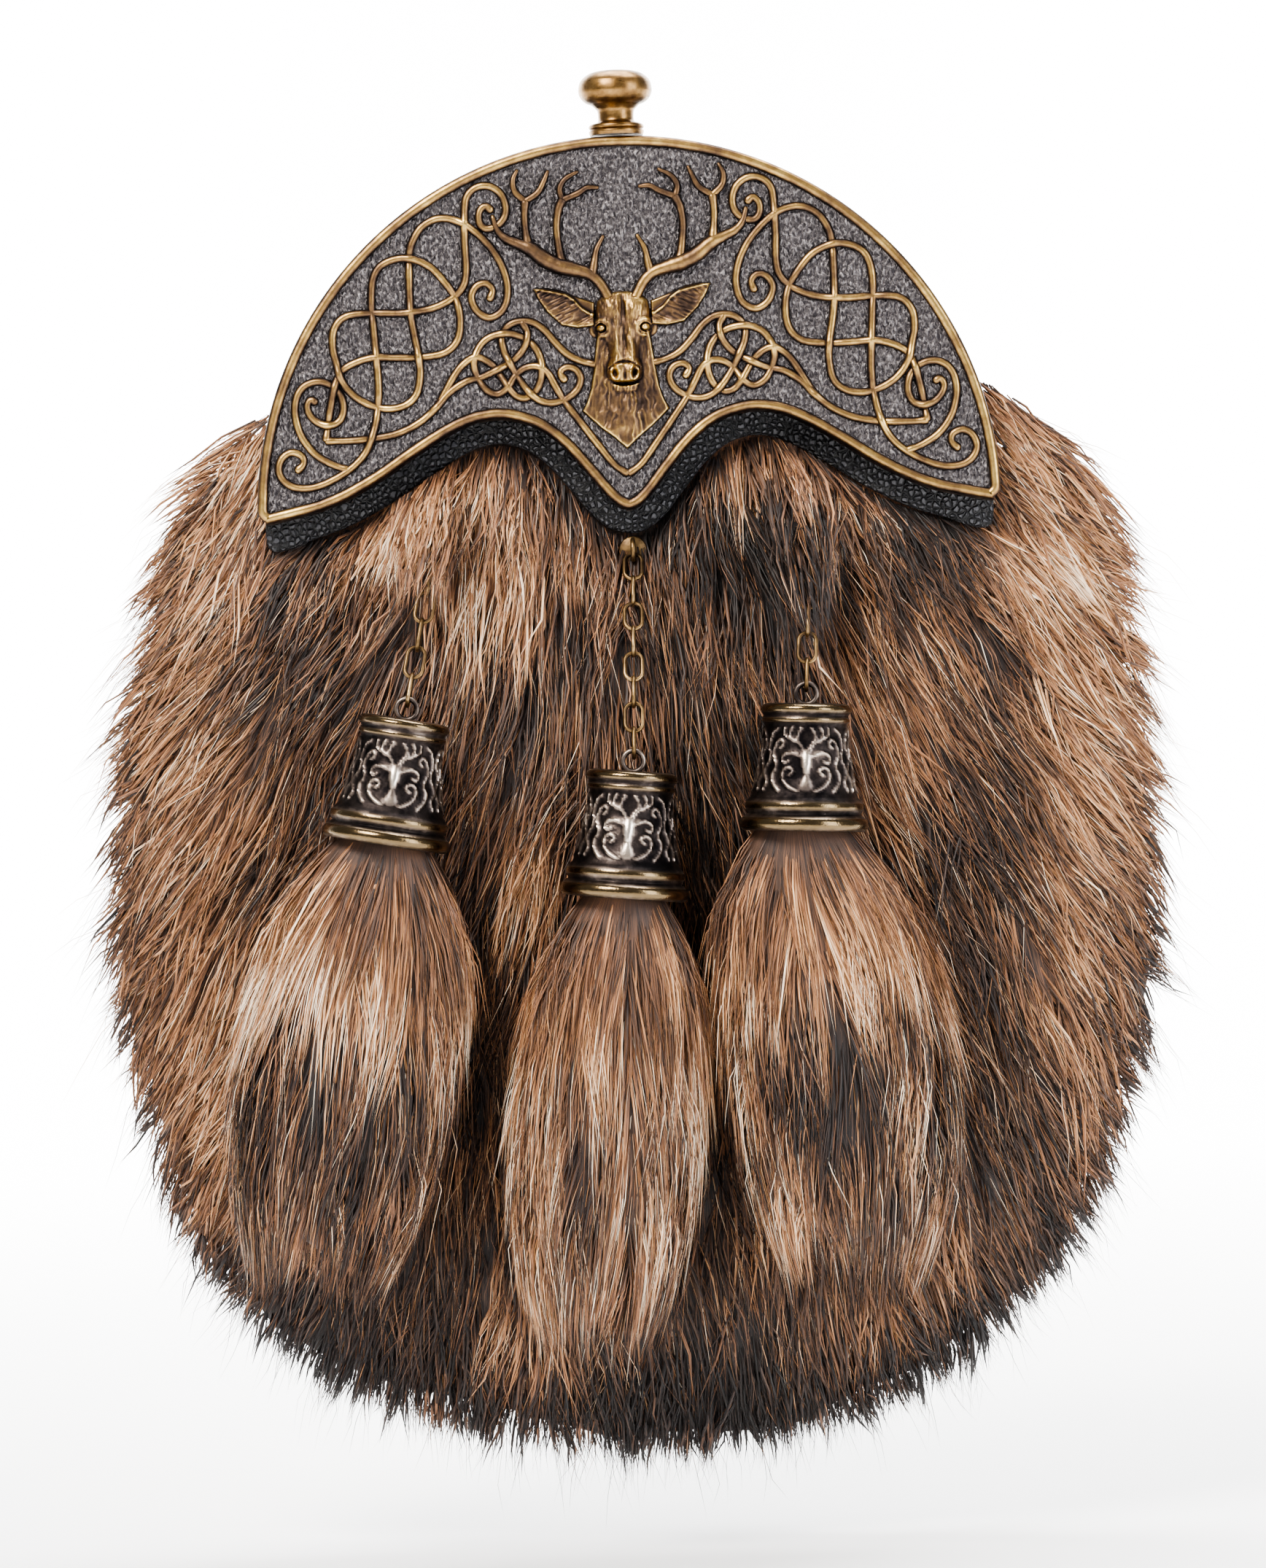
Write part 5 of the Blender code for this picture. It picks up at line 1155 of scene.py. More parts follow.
def furRoots(rng):
    # roots strewn over the pelt, the first ones in a thick row just below the apron
    wanted = fur["blades"] + fur["hairs"]
    hem = rng.uniform(*fur["hemX"], fur["hemHairs"])
    hemZ = edgeHeight(hem) - 0.3 - 9 * rng.uniform(0, 1, len(hem)) ** 1.5
    # and more beside the plate's corners
    extra = fur["shoulderHairs"]
    shoulder = rng.uniform(*fur["shoulderX"], extra) * rng.choice([-1, 1], extra)
    shoulderZ = rng.uniform(*fur["shoulderZ"], extra)
    x = np.concatenate([hem, shoulder, rng.uniform(*fur["rootsX"], wanted * 3)])
    z = np.concatenate([hemZ, shoulderZ, rng.uniform(*fur["rootsZ"], wanted * 3)])
    share, _ = furReach(x, z)
    bare = (z > edgeHeight(x) - 0.3) & (np.abs(x) < plate["radius"] - 7)
    # the rim gets more than its share of hair
    keep = (share < 0.91) & ~bare & (rng.uniform(0, 1, len(x)) < 0.62 + 0.38 * smoothStep(share, 0.6, 0.8))
    return (values[keep][:wanted] for values in (x, z, share))


def nearestLock(x, z, fx, fz, pick):
    # which picked root is nearest to each root, where a step along the hair counts half
    nearest = np.empty(len(x), int)
    for start in range(0, len(x), 2000):
        part = slice(start, start + 2000)
        offX, offZ = x[part, None] - x[pick], z[part, None] - z[pick]
        along = offX * fx[part, None] + offZ * fz[part, None]
        across = offX * fz[part, None] - offZ * fx[part, None]
        nearest[part] = np.argmin(along ** 2 * 0.25 + across ** 2, axis=1)
    return nearest


def cutAtRim(x, z, dx, dz, length, limit):
    # the longest each hair can be before it passes its limit, found by halving twelve times
    low, high = np.zeros(len(x)), length.copy()
    for _ in range(12):
        middle = (low + high) / 2
        far, _ = furReach(x + dx * middle, z + dz * middle)
        low, high = np.where(far < limit, middle, low), np.where(far < limit, high, middle)
    return low


def furHairs():
    # hairs near each other share a lock, whose tip draws theirs together
    rng = np.random.default_rng(fur["seed"])
    x, z, share = furRoots(rng)
    n = len(x)
    layer = rng.uniform(0, 1, n) ** 0.7
    blade = rng.uniform(0, 1, n) < fur["blades"] / n
    rim = smoothStep(share, 0.70, 0.92)
    fx, fz = furFlow(x, z)
    pick = rng.choice(n, fur["locks"], replace=False)
    nearest = nearestLock(x, z, fx, fz, pick)
    lockTurn = rng.normal(0, 0.17, len(pick))
    lockLength = rng.uniform(0.75, 1.12, len(pick))
    lockTone = rng.normal(0, 0.07, len(pick))
    turn = lockTurn[nearest] + rng.normal(0, 0.09, n)
    dx, dz = fx * np.cos(turn) - fz * np.sin(turn), fx * np.sin(turn) + fz * np.cos(turn)
    length = fur["length"] * lockLength[nearest] * rng.uniform(0.72, 1.1, n)
    # near the apron the hair is shorter; at the rim it ends where the fur ends
    nearApron = smoothStep(edgeHeight(x) - z, -2, 30) + smoothStep(np.abs(x), 62, 76)
    length *= 0.60 + 0.40 * np.clip(nearApron, 0, 1)
    stray = ~blade & (rng.uniform(0, 1, n) < 0.22)
    limit = rng.normal(0.945, 0.03, n) + np.where(blade, -0.012, 0.018) + stray * rng.uniform(0.01, 0.09, n)
    length = np.maximum(cutAtRim(x, z, dx, dz, length, limit), fur["shortest"])
    tipX, tipZ = x + dx * length, z + dz * length
    clump = np.where(stray, 0.05, rng.uniform(0.12, 0.48, n))
    tipX += (tipX[pick][nearest] - tipX) * clump
    tipZ += (tipZ[pick][nearest] - tipZ) * clump
    far, _ = furReach(tipX, tipZ)
    # depth: roots in the pelt, tips on the coat's front, which falls back towards the rim
    frontRoot, frontTip = furFront(x, z), furFront(tipX, tipZ)
    rootY = fur["skin"] - bellyAt(x, z) - 0.5 + (frontRoot - fur["skin"]) * 0.25
    rootY = rootY * (1 - rim) + rim * (fur["rimRootY"] + 13 * (1 - layer))
    behind = (z > edgeHeight(x) - 0.3) & (np.abs(x) < plate["radius"])
    rootY = np.where(behind, fur["hiddenRootY"], rootY)
    rootY = rootY - 0.5 * overChain(x, z) * smoothStep(z, -50, -40)
    fall = np.clip(far, 0, 1.05) ** 6
    surface = frontTip * (1 - fall) + fall * (fur["tipY"] + 2)
    deep = fur["rimRootY"] + (1 - layer) * 17 * smoothStep(far, 0.75, 1.0)
    tipY = surface * layer + (1 - layer) * np.where(far > 0.8, deep, surface + 4.5)
    tipY += rng.normal(0, 0.7, n) - np.where(blade, 0.0, 0.5) - overChain(tipX, tipZ)
    root = np.column_stack([x, rootY, z])
    tip = np.column_stack([tipX, tipY, tipZ])
    lift = 1.4 + 1.6 * rng.uniform(0, 1, n) + 0.6 * overChain((x + tipX) / 2, (z + tipZ) / 2)
    width = np.where(blade, fur["bladeWidth"], fur["width"]) * rng.uniform(0.7, 1.35, n)
    width = width * np.where(stray, 0.75, 1.0)
    tone = patchTone(x + dx * 8, z + dz * 8) + lockTone[nearest] + rng.normal(0, 0.095, n)
    # some fine hairs are much paler than the coat round them, a few darker
    paler = ~blade * (rng.uniform(0, 1, n) < 0.50) * rng.uniform(0.22, 0.58, n)
    tone = tone + paler * np.clip(1.3 - 1.1 * tone, 0.2, 1)
    tone = tone - ~blade * (rng.uniform(0, 1, n) < 0.15) * rng.uniform(0.10, 0.35, n)
    dark = smoothStep(far, 0.86, 1.0) * (0.25 + 0.42 * smoothStep(-tipZ, 120, 200))
    side = rng.normal(0, 1, (n, 3))
    side[blade] = side[blade] * 0.28 + [0.0, -1.0, 0.0]
    groups = []
    top = blade & ((layer > 0.72) | (share > 0.8))
    kinds = ((top, 4, 0.35), (blade & ~top, 3, 0.35), (stray, 4, 1.0), (~blade & ~stray, 3, 1.0))
    for own, stations, flat in kinds:
        t = np.linspace(0, 1, stations)
        path = hairPaths(root[own], tip[own], lift[own], rng, stations)
        radii = width[own, None] * np.interp(t, hairStations, hairTaper)
        # painted shade: each hair is darker towards its root
        shade = np.interp(t, hairStations, [-0.34, -0.08, 0.06, 0.04])
        shade = shade - dark[own, None] * np.interp(t, hairStations, [0.0, 0.15, 0.7, 1.1])
        groups.append((path, radii, side[own], np.clip(tone[own, None] + shade, 0, 1), flat))
    return groups


def furPelt():
    # the dense undercoat beneath the long hair: a cushion that follows the coat some millimetres down
    count, rings = 120, 22
    turn = 2 * math.pi * np.arange(count) / count
    _, full = furReach(fur["centre"][0] + np.sin(turn), fur["centre"][1] + np.cos(turn))
    direction = np.column_stack([np.sin(turn), np.cos(turn)])
    rough = 1 + 0.02 * smoothNoise(turn * 9, turn * 0 + 2, 12)
    upward = direction[:, 1] > 0.3
    reach = full * np.where(upward & (np.abs(direction[:, 0]) < 0.66), 1.0, 0.905) * rough
    share = np.linspace(0, 1, 400)[:, None]
    x = fur["centre"][0] + direction[:, 0] * reach * share
    z = fur["centre"][1] + direction[:, 1] * reach * share
    covered = (z > edgeHeight(x) + 2.0) & (np.abs(x) < plate["radius"] - 3)
    limit = np.where(covered.any(axis=0) & upward, share[covered.argmax(axis=0), 0], 1.0)
    reach = reach * limit
    rows = np.linspace(0, 1, rings)[1:] ** 0.8
    front = np.empty((len(rows), count, 3))
    front[..., 0] = fur["centre"][0] + direction[:, 0] * reach * rows[:, None]
    front[..., 2] = fur["centre"][1] + direction[:, 1] * reach * rows[:, None]
    coat = furFront(front[..., 0], front[..., 2])
    skin = fur["skin"] - bellyAt(front[..., 0], front[..., 2])
    lump = smoothNoise(front[..., 0] / 4 + 60, front[..., 2] / 9 + 60, 13)
    depth = skin + (coat - skin) * 0.5 + 0.5 * lump
    # under the apron and the plate's corners it lies flat behind the leather
    tucked = smoothStep(front[..., 2] - edgeHeight(front[..., 0]), -4, -1)
    tucked = tucked * (np.abs(front[..., 0]) < plate["radius"])
    depth = depth * (1 - tucked) + tucked * (skin + 0.9)
    outer = np.where(limit > 0.995, 1.0, 0.0)
    fall = rows[:, None] ** 8 * outer
    front[..., 1] = depth * (1 - fall) + fall * fur["rimFrontY"]
    back = front[::-1].copy()
    pouchFront = fur["pouchFace"] - bellyAt(back[..., 0], back[..., 2])
    beyond = smoothStep(np.hypot(back[..., 0] / 70, (back[..., 2] + 105) / 76), 0.99, 1.06)
    back[..., 1] = pouchFront * (1 - beyond) + beyond * fur["pouchSide"]
    back[0, :, 1] = np.where(outer > 0.5, fur["rimBackY"], pouchFront[0])
    middleX, middleZ = fur["centre"]
    middleFront = furFront(np.array([middleX]), np.array([middleZ]))[0]
    poles = [[middleX, middleFront * 0.5 + fur["skin"] * 0.5 - 1.5, middleZ],
             [middleX, fur["pouchFace"] - bellyAt(middleX, middleZ), middleZ]]
    points = np.vstack([front.reshape(-1, 3), back.reshape(-1, 3), poles])
    total = 2 * len(rows) * count
    quads = gridQuads(2 * len(rows), count, closeColumns=True)
    tris = endFans(count, total)
    tone = np.clip(patchTone(points[:, 0], points[:, 2]) - 0.14, 0, 1)
    # undercoat hairs fan out downwards
    fan = points[:, 0] / (1 + 0.004 * np.maximum(0, -30 - points[:, 2]))
    place = np.column_stack([fan, points[:, 2], points[:, 1]])
    piece = addMesh("furPelt", points, quads, tris, hairFur, {"hairTone": tone, "hairPlace": place},
                    turnOut=True)
    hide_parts("fur_front")


def furCoat():
    # the long hair, in three pieces by the place of the roots
    groups = furHairs()
    for number, name in enumerate(("furHairLeft", "furHairMiddle", "furHairRight")):
        parts = []
        for path, radii, side, tone, flat in groups:
            own = np.digitize(path[:, 0, 0], [-36, 36]) == number
            parts.append(strands(path[own], radii[own], side[own], tone[own], flat))
        points, quads, tris, values = joined(parts)
        piece = addMesh(name, points, quads, tris, hairFur,
                        {"hairTone": values[:, 0], "hairPlace": values[:, 1:]})
        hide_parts("fur_front")


furPelt()
furCoat()
print("fur made")


tasselSizes = {
    "eyeY": -56.5, "coneHeight": 24.5, "coneMouth": 12.2,
    "ringRadius": 2.5, "ringWire": 1.0, "linkLength": 6.5,
    "linkWidth": 4.2, "wire": 0.85, "linkBite": 0.55, "bow": 1.5,
    "length": 88.0, "halfDepth": 9.5, "blades": 3300, "hairs": 3400,
    "hairLength": 27.0, "bladeWidth": 0.26, "hairWidth": 0.085,
}

# columns x and z of the cone's eye, lean in degrees, half width of the hair, sway to the right
tasselTable = {
    "left": (-44.2, -74.5, 11.0, 20.8, 0.0),
    "centre": (-1.0, -86.0, 6.0, 18.0, 0.0),
    "right": (32.7, -74.2, 3.0, 21.8, 11.2),
}

# colour down each tassel, from the bell to the tip: columns share of length and tone
tasselTones = {
    "left": [(0.0, 0.46), (0.14, 0.50), (0.22, 0.56), (0.30, 0.84), (0.37, 0.74), (0.46, 0.40),
             (0.60, 0.20), (0.80, 0.28), (1.0, 0.24)],
    "centre": [(0.0, 0.48), (0.12, 0.52), (0.26, 0.56), (0.38, 0.66), (0.55, 0.52), (0.70, 0.40),
               (0.85, 0.44), (1.0, 0.32)],
    "right": [(0.0, 0.46), (0.12, 0.50), (0.23, 0.52), (0.31, 0.74), (0.39, 0.42), (0.55, 0.22),
              (0.72, 0.34), (0.86, 0.46), (1.0, 0.36)],
}


def tasselFrame(eyeX, eyeZ, lean):
    # rows of a matrix that hangs a tassel from its eye: its top at the origin, and down the tassel along -Z
    a = math.radians(lean)
    turn = np.array([[math.cos(a), 0, math.sin(a)], [0, 1, 0], [-math.sin(a), 0, math.cos(a)]])
    place = np.array([eyeX, tasselSizes["eyeY"], eyeZ])
    drop = -tasselSizes["ringRadius"] + tasselSizes["ringWire"] * 0.6
    return turn, place + turn @ np.array([0, 0, drop])


def hung(points, frameOf):
    # points of a tassel put in its hanging frame
    turn, place = frameOf
    return np.asarray(points) @ turn.T + place


# bell's outer side from the top down: columns share of height and radius in millimetres
bellProfile = [
    (0.000, 7.3), (0.010, 8.2), (0.035, 8.75), (0.062, 8.75), (0.085, 8.3),
    (0.095, 8.1), (0.108, 8.3), (0.130, 8.5), (0.150, 8.3),
    (0.165, 7.9), (0.20, 7.95), (0.30, 8.15), (0.45, 8.7), (0.58, 9.3),
    (0.68, 9.9), (0.735, 10.4), (0.755, 10.9), (0.785, 11.35),
    (0.815, 11.45), (0.845, 11.2), (0.865, 10.9), (0.88, 11.3),
    (0.91, 12.1), (0.945, 12.35), (0.975, 12.2), (1.0, 11.7),
]


# half of one repeat of the bell's relief: points across and up in millimetres, and the line's radius
bellLines = [
    ([(0.7, 9.2), (1.6, 10.6), (3.2, 11.2), (3.6, 12.6), (3.0, 13.6)], 0.42),
    ([(2.0, 10.8), (1.9, 12.2), (1.1, 13.4)], 0.36),
    ([(3.3, 11.3), (4.8, 12.0), (5.0, 13.4)], 0.36),
    ([(1.6, 1.2), (3.4, 2.2), (4.6, 3.8), (4.4, 5.4), (3.2, 5.8), (2.6, 4.9), (3.3, 4.3)], 0.38),
    ([(1.4, 8.0), (3.0, 8.6), (4.4, 8.4), (5.0, 7.4), (4.4, 6.6), (3.6, 7.0)], 0.36),
    ([(5.0, 1.2), (6.4, 2.6), (7.0, 4.4), (6.2, 6.0), (7.2, 8.2), (6.8, 10.4), (5.6, 11.2), (5.0, 10.2),
      (5.9, 9.6)], 0.40),
    ([(8.6, 1.4), (8.2, 3.2), (9.3, 5.0), (8.0, 7.6), (8.8, 10.0), (8.0, 12.4), (6.8, 13.2)], 0.38),
]


def bellPattern(angle, height):
    # relief round the bell, three times over: ridges that draw a small mask with antlers between scrolls
    repeats, waistRadius = 3, 9.0
    width = 2 * math.pi * waistRadius / repeats
    u = ((angle / (2 * math.pi) * repeats + 0.5) % 1 - 0.5) * width
    side = np.abs(u)
    v = height
    lift = np.zeros(u.shape)
    for points, radius in bellLines:
        line = evenCurve(points, 0.5)
        near = np.full(u.shape, 1e9)
        for (x1, z1), (x2, z2) in zip(line[:-1], line[1:]):
            reach = (side - x1) * (x2 - x1) + (v - z1) * (z2 - z1)
            t = np.clip(reach / ((x2 - x1) ** 2 + (z2 - z1) ** 2), 0, 1)
            near = np.minimum(near, np.hypot(side - x1 - t * (x2 - x1), v - z1 - t * (z2 - z1)))
        lift = np.maximum(lift, 0.50 * np.sqrt(np.clip(1 - (near / radius) ** 2, 0, 1)))
    faceWidth = 0.75 + 0.16 * np.clip(v - 4.4, 0, 4)
    face = 0.85 * np.sqrt(np.clip(1 - (side / faceWidth) ** 2 - ((v - 6.6) / 2.9) ** 2, 0, 1))
    ears = 0.45 * bump(side, v, 2.0, 8.6, 0.9, 0.5)
    chestWidth = 0.4 + 0.5 * np.clip(4.6 - v, 0, 3)
    chest = 0.55 * np.sqrt(np.clip(1 - (side / chestWidth) ** 2 - ((v - 3.2) / 2.2) ** 2, 0, 1))
    return np.maximum(np.maximum(lift, face), np.maximum(ears, chest))


def tasselBell(sideName):
    # turned profile with the relief pushed out of its waist, the hollow inside it, and the eye on top
    eyeX, eyeZ, lean = tasselTable[sideName][:3]
    h, sides = tasselSizes["coneHeight"], 126
    table = np.array(bellProfile)
    outer = evenCurve(np.column_stack([table[:, 1], -table[:, 0] * h]), 0.30)
    inner = [(tasselSizes["coneMouth"] - 1.3, -h), (10.4, -h * 0.95), (8.6, -h * 0.72), (7.6, -h * 0.45),
             (7.0, -h * 0.08)]
    profile = np.vstack([outer, inner])
    turn = 2 * math.pi * (np.arange(sides) + 0.5) / sides
    # the relief is drawn 14.2 mm high and fitted to the waist, whose foot and height are shares of the bell
    drawnHeight, waistFoot, waistShare = 14.2, 0.735, 0.57
    height = np.broadcast_to((h * waistFoot + profile[:, 1])[:, None], (len(profile), sides))
    angle = np.broadcast_to(turn - math.pi / 2 * 3, height.shape)
    drop = -profile[:, 1]
    waist = smoothStep(drop, h * 0.168, h * 0.19) * (1 - smoothStep(drop, h * 0.70, h * 0.72))
    waist[len(outer):] = 0
    relief = bellPattern(angle, height * drawnHeight / (h * waistShare)) * waist[:, None]
    radius = profile[:, :1] + relief * 0.9 - 0.1 * waist[:, None]
    points = np.empty((len(profile), sides, 3))
    points[..., 0] = radius * np.cos(turn)
    points[..., 1] = radius * np.sin(turn)
    points[..., 2] = profile[:, 1:]
    total = len(profile) * sides
    points = np.vstack([points.reshape(-1, 3), [[0, 0, 0.0], [0, 0, -h * 0.08]]])
    quads = gridQuads(len(profile), sides, closeColumns=True)
    tris = endFans(sides, total)
    # bright on the relief's and the beads' tops and dark between them: worn metal and patina, with painted
    # shade in the grooves and inside the bell
    rubbed = 0.12 + 1.1 * relief
    plain = 1 - waist
    ridge = np.interp(drop / h, [0, 0.04, 0.095, 0.13, 0.17, 0.75, 0.80, 0.865, 0.93, 1.0],
                      [0.3, 0.62, 0.1, 0.55, 0.1, 0.1, 0.6, 0.1, 0.66, 0.3])
    rubbed = rubbed * waist[:, None] + (ridge * plain)[:, None]
    rubbed[len(outer):] = 0.1
    # the beads above and below the waist are polished on their crests
    crest = smoothStep(ridge, 0.25, 0.5) * plain
    crest[len(outer):] = 0
    values = np.stack([rubbed, np.broadcast_to(crest[:, None], rubbed.shape)], -1).reshape(-1, 2)
    parts = [(points, quads, tris, np.vstack([values, [[0.3, 0.0], [0.1, 0.0]]]))]
    r, w = tasselSizes["ringRadius"], tasselSizes["ringWire"]
    eyePoints, eyeQuads, eyeTris, eyeRubbed = ringMesh(r, w, 2 * r, 36, 12, np.eye(3),
                                                       np.array([0, 0, r - w * 0.6]))
    parts.append((eyePoints, eyeQuads, eyeTris, np.column_stack([eyeRubbed, eyeRubbed * 0])))
    points, quads, tris, values = joined(parts)
    piece = addMesh("tasselBell" + sideName.capitalize(), hung(points, tasselFrame(eyeX, eyeZ, lean)),
                    quads, tris, bellCast, {"rubbed": values[:, 0], "polished": values[:, 1]}, turnOut=True)
    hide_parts("tassel_cone_" + sideName)


def ringMesh(radius, wire, length, segments, sides, turnBy, place):
    # wire round a stadium path in the XZ plane, length overall along Z, then turned and placed
    straight = max(0.0, length / 2 - radius)
    a = 2 * math.pi * (np.arange(segments) + 0.5) / segments
    outward = np.column_stack([np.sin(a), np.zeros(segments), np.cos(a)])
    middle = outward * (radius - wire / 2)
    middle[:, 2] += np.sign(np.cos(a)) * straight
    b = 2 * math.pi * np.arange(sides) / sides
    across = outward[:, None] * np.cos(b)[None, :, None] + np.array([0, 1, 0]) * np.sin(b)[None, :, None]
    points = middle[:, None] + across * wire / 2
    points = points @ turnBy.T + place
    rubbed = np.broadcast_to(0.42 + 0.22 * np.cos(b), (segments, sides))
    return points.reshape(-1, 3), gridQuads(segments, sides, True, True), np.zeros((0, 3)), rubbed.ravel()


def turnTo(along):
    # rotation that carries +Z to a direction
    return np.array(Vector((0, 0, 1)).rotation_difference(Vector(along)).to_matrix())


def chainAndRing(sideName):
    # a ring on its seat at the fur, and links from it to the bell's eye, each a quarter turn from the last
    s = tasselSizes
    eyeX, eyeZ, lean = tasselTable[sideName][:3]
    low, high = (np.array(corner) * 1000 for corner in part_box("chain_ring_" + sideName))
    seatY, ringZ = high[1], (low[2] + high[2]) / 2
    ringX = (low[0] + high[0]) / 2
    centre = np.array([ringX, seatY - 0.8 - s["ringRadius"] + s["ringWire"] * 0.8, ringZ])
    quarter = np.array([[0.0, -1.0, 0.0], [1.0, 0.0, 0.0], [0.0, 0.0, 1.0]])
    parts = [ringMesh(s["ringRadius"], s["ringWire"], 2 * s["ringRadius"], 32, 10, quarter, centre)]
    sides, thick = 28, 0.8
    turn = 2 * math.pi * np.arange(sides) / sides
    seat = np.empty((4, sides, 3))
    for row, (radius, y) in zip(seat, [(2.7, 0.0), (2.8, -0.2), (2.8, -0.55), (2.55, -thick)]):
        row[:, 0] = ringX + radius * np.cos(turn)
        row[:, 1] = seatY + y
        row[:, 2] = ringZ + radius * np.sin(turn)
    total = 4 * sides
    seatPoints = np.vstack([seat.reshape(-1, 3), [[ringX, seatY, ringZ], [ringX, seatY - thick, ringZ]]])
    seatTris = np.vstack([fanTris(np.arange(sides), total),
                          fanTris(np.arange(total - sides, total)[::-1], total + 1)])
    parts.append((seatPoints, gridQuads(4, sides, closeColumns=True), seatTris, np.full(total + 2, 0.4)))
    points, quads, tris, rubbed = joined(parts)
    piece = addMesh("chainRing" + sideName.capitalize(), points, quads, tris, chainCast, {"rubbed": rubbed},
                    turnOut=True)
    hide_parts("chain_ring_" + sideName)
    wireOffset = s["ringRadius"] - s["ringWire"] / 2
    bottom = hung([[0, 0, s["ringRadius"] - s["ringWire"] * 0.6 + wireOffset]],
                  tasselFrame(eyeX, eyeZ, lean))[0]
    toBottom = bottom - centre
    top = centre + toBottom / np.linalg.norm(toBottom) * wireOffset
    run = bottom - top
    distance = np.linalg.norm(run)
    unit = run / distance
    bite = 2 * s["wire"] - s["linkBite"]
    hook = -(s["wire"] + s["ringWire"] / 2 + 0.3)
    whole = distance - 2 * hook
    gaps = 2 * round(((whole - s["linkLength"]) / (s["linkLength"] - bite) - 1) / 2) + 1
    length = (whole + gaps * bite) / (gaps + 1)
    first, last = top + unit * (hook + length / 2), bottom - unit * (hook + length / 2)
    t = np.linspace(0, 1, gaps + 1)[:, None]
    places = first + (last - first) * t + np.array([0, -1, 0]) * s["bow"] * np.sin(t * math.pi)
    parts = []
    for i, place in enumerate(places):
        along = places[max(0, i - 1)] - places[min(gaps, i + 1)]
        spin = quarter if i % 2 else np.eye(3)
        turnBy = turnTo(along / np.linalg.norm(along)) @ spin
        parts.append(ringMesh(s["linkWidth"] / 2, s["wire"], length, 28, 9, turnBy, place))
    points, quads, tris, rubbed = joined(parts)
    piece = addMesh("chainLinks" + sideName.capitalize(), points, quads, tris, chainCast,
                    {"rubbed": rubbed}, turnOut=True)
    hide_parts("chain_" + sideName)


# tassel's outer form: columns share of length, share of half width, share of half depth
tasselForm = [
    (-0.06, 0.36, 0.70), (0.0, 0.54, 0.92), (0.05, 0.72, 1.00),
    (0.12, 0.88, 1.04), (0.22, 0.99, 1.06), (0.36, 1.05, 1.05),
    (0.52, 1.07, 1.02), (0.66, 1.03, 0.96), (0.78, 0.93, 0.86), (0.88, 0.78, 0.72), (1.0, 0.58, 0.46),
]


def formAt(drop):
    # shares of the half width and half depth at a share of the length
    table = np.array(tasselForm)
    return np.interp(drop, table[:, 0], table[:, 1]), np.interp(drop, table[:, 0], table[:, 2])


def tasselPoint(drop, angle, share, halfWidth, sway):
    # a place in the tassel: how far down, which way out, and what share of the form's radius
    width, depth = formAt(drop)
    x = share * halfWidth * width * np.cos(angle) + sway * np.sin(np.clip(drop, 0, 1) * math.pi / 2)
    y = share * tasselSizes["halfDepth"] * depth * np.sin(angle)
    z = -tasselSizes["coneHeight"] - tasselSizes["length"] * drop
    return np.stack([x, y, np.broadcast_to(z, np.shape(x))], -1)


def tasselTone(sideName, drop, angle):
    # the table's tone at that height, its bands made ragged by noise
    table = np.array(tasselTones[sideName])
    seed = {"left": 51, "centre": 52, "right": 53}[sideName]
    patch = smoothNoise(angle * 2.2 + 20, drop * 7 + 5, seed)
    patch = patch + 0.5 * smoothNoise(angle * 5 + 9, drop * 16 + 3, seed + 10)
    below = smoothStep(drop, 0.18, 0.42)
    return np.interp(drop + 0.07 * patch, table[:, 0], table[:, 1]) + patch * (0.05 + 0.16 * below)


def tasselCore(sideName):
    # the solid form under a tassel's hair: rings of its outer form, drawn in, with a pole at each end
    eyeX, eyeZ, lean, halfWidth, sway = tasselTable[sideName]
    drops = np.concatenate([[-0.055], np.linspace(0, 0.86, 34)])
    sides = 48
    angles = 2 * math.pi * np.arange(sides) / sides
    ripple = smoothNoise(angles[None] * 4.2 + 3, drops[:, None] * 3 + 3, 14)
    ripple = ripple * smoothStep(drops[:, None], 0.05, 0.3)
    closing = 1 - 0.5 * smoothStep(drops[:, None], 0.68, 0.86)
    core = tasselPoint(drops[:, None], angles[None], 0.82 * (1 + 0.05 * ripple) * closing, halfWidth, sway)
    total = core.shape[0] * sides
    poles = tasselPoint(np.array([-0.055, 0.90]), np.zeros(2), np.zeros(2), halfWidth, sway)
    tris = endFans(sides, total)
    drop, angle = np.broadcast_arrays(drops[:, None], angles[None])
    tone = np.concatenate([(tasselTone(sideName, drop, angle) - 0.15).ravel(), [0.4, 0.3]])
    across = np.append(angle.ravel() * halfWidth, [0, 0])
    down = np.append(drop.ravel() * tasselSizes["length"], [0, 0])
    points = hung(np.vstack([core.reshape(-1, 3), poles]), tasselFrame(eyeX, eyeZ, lean))
    attributes = {"hairTone": np.clip(tone, 0, 1),
                  "hairPlace": np.column_stack([across, down, np.zeros(total + 2)])}
    piece = addMesh("tasselCore" + sideName.capitalize(), points,
                    gridQuads(core.shape[0], sides, closeColumns=True),
                    tris, hairTassel, attributes, turnOut=True)
    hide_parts("tassel_fur_" + sideName)


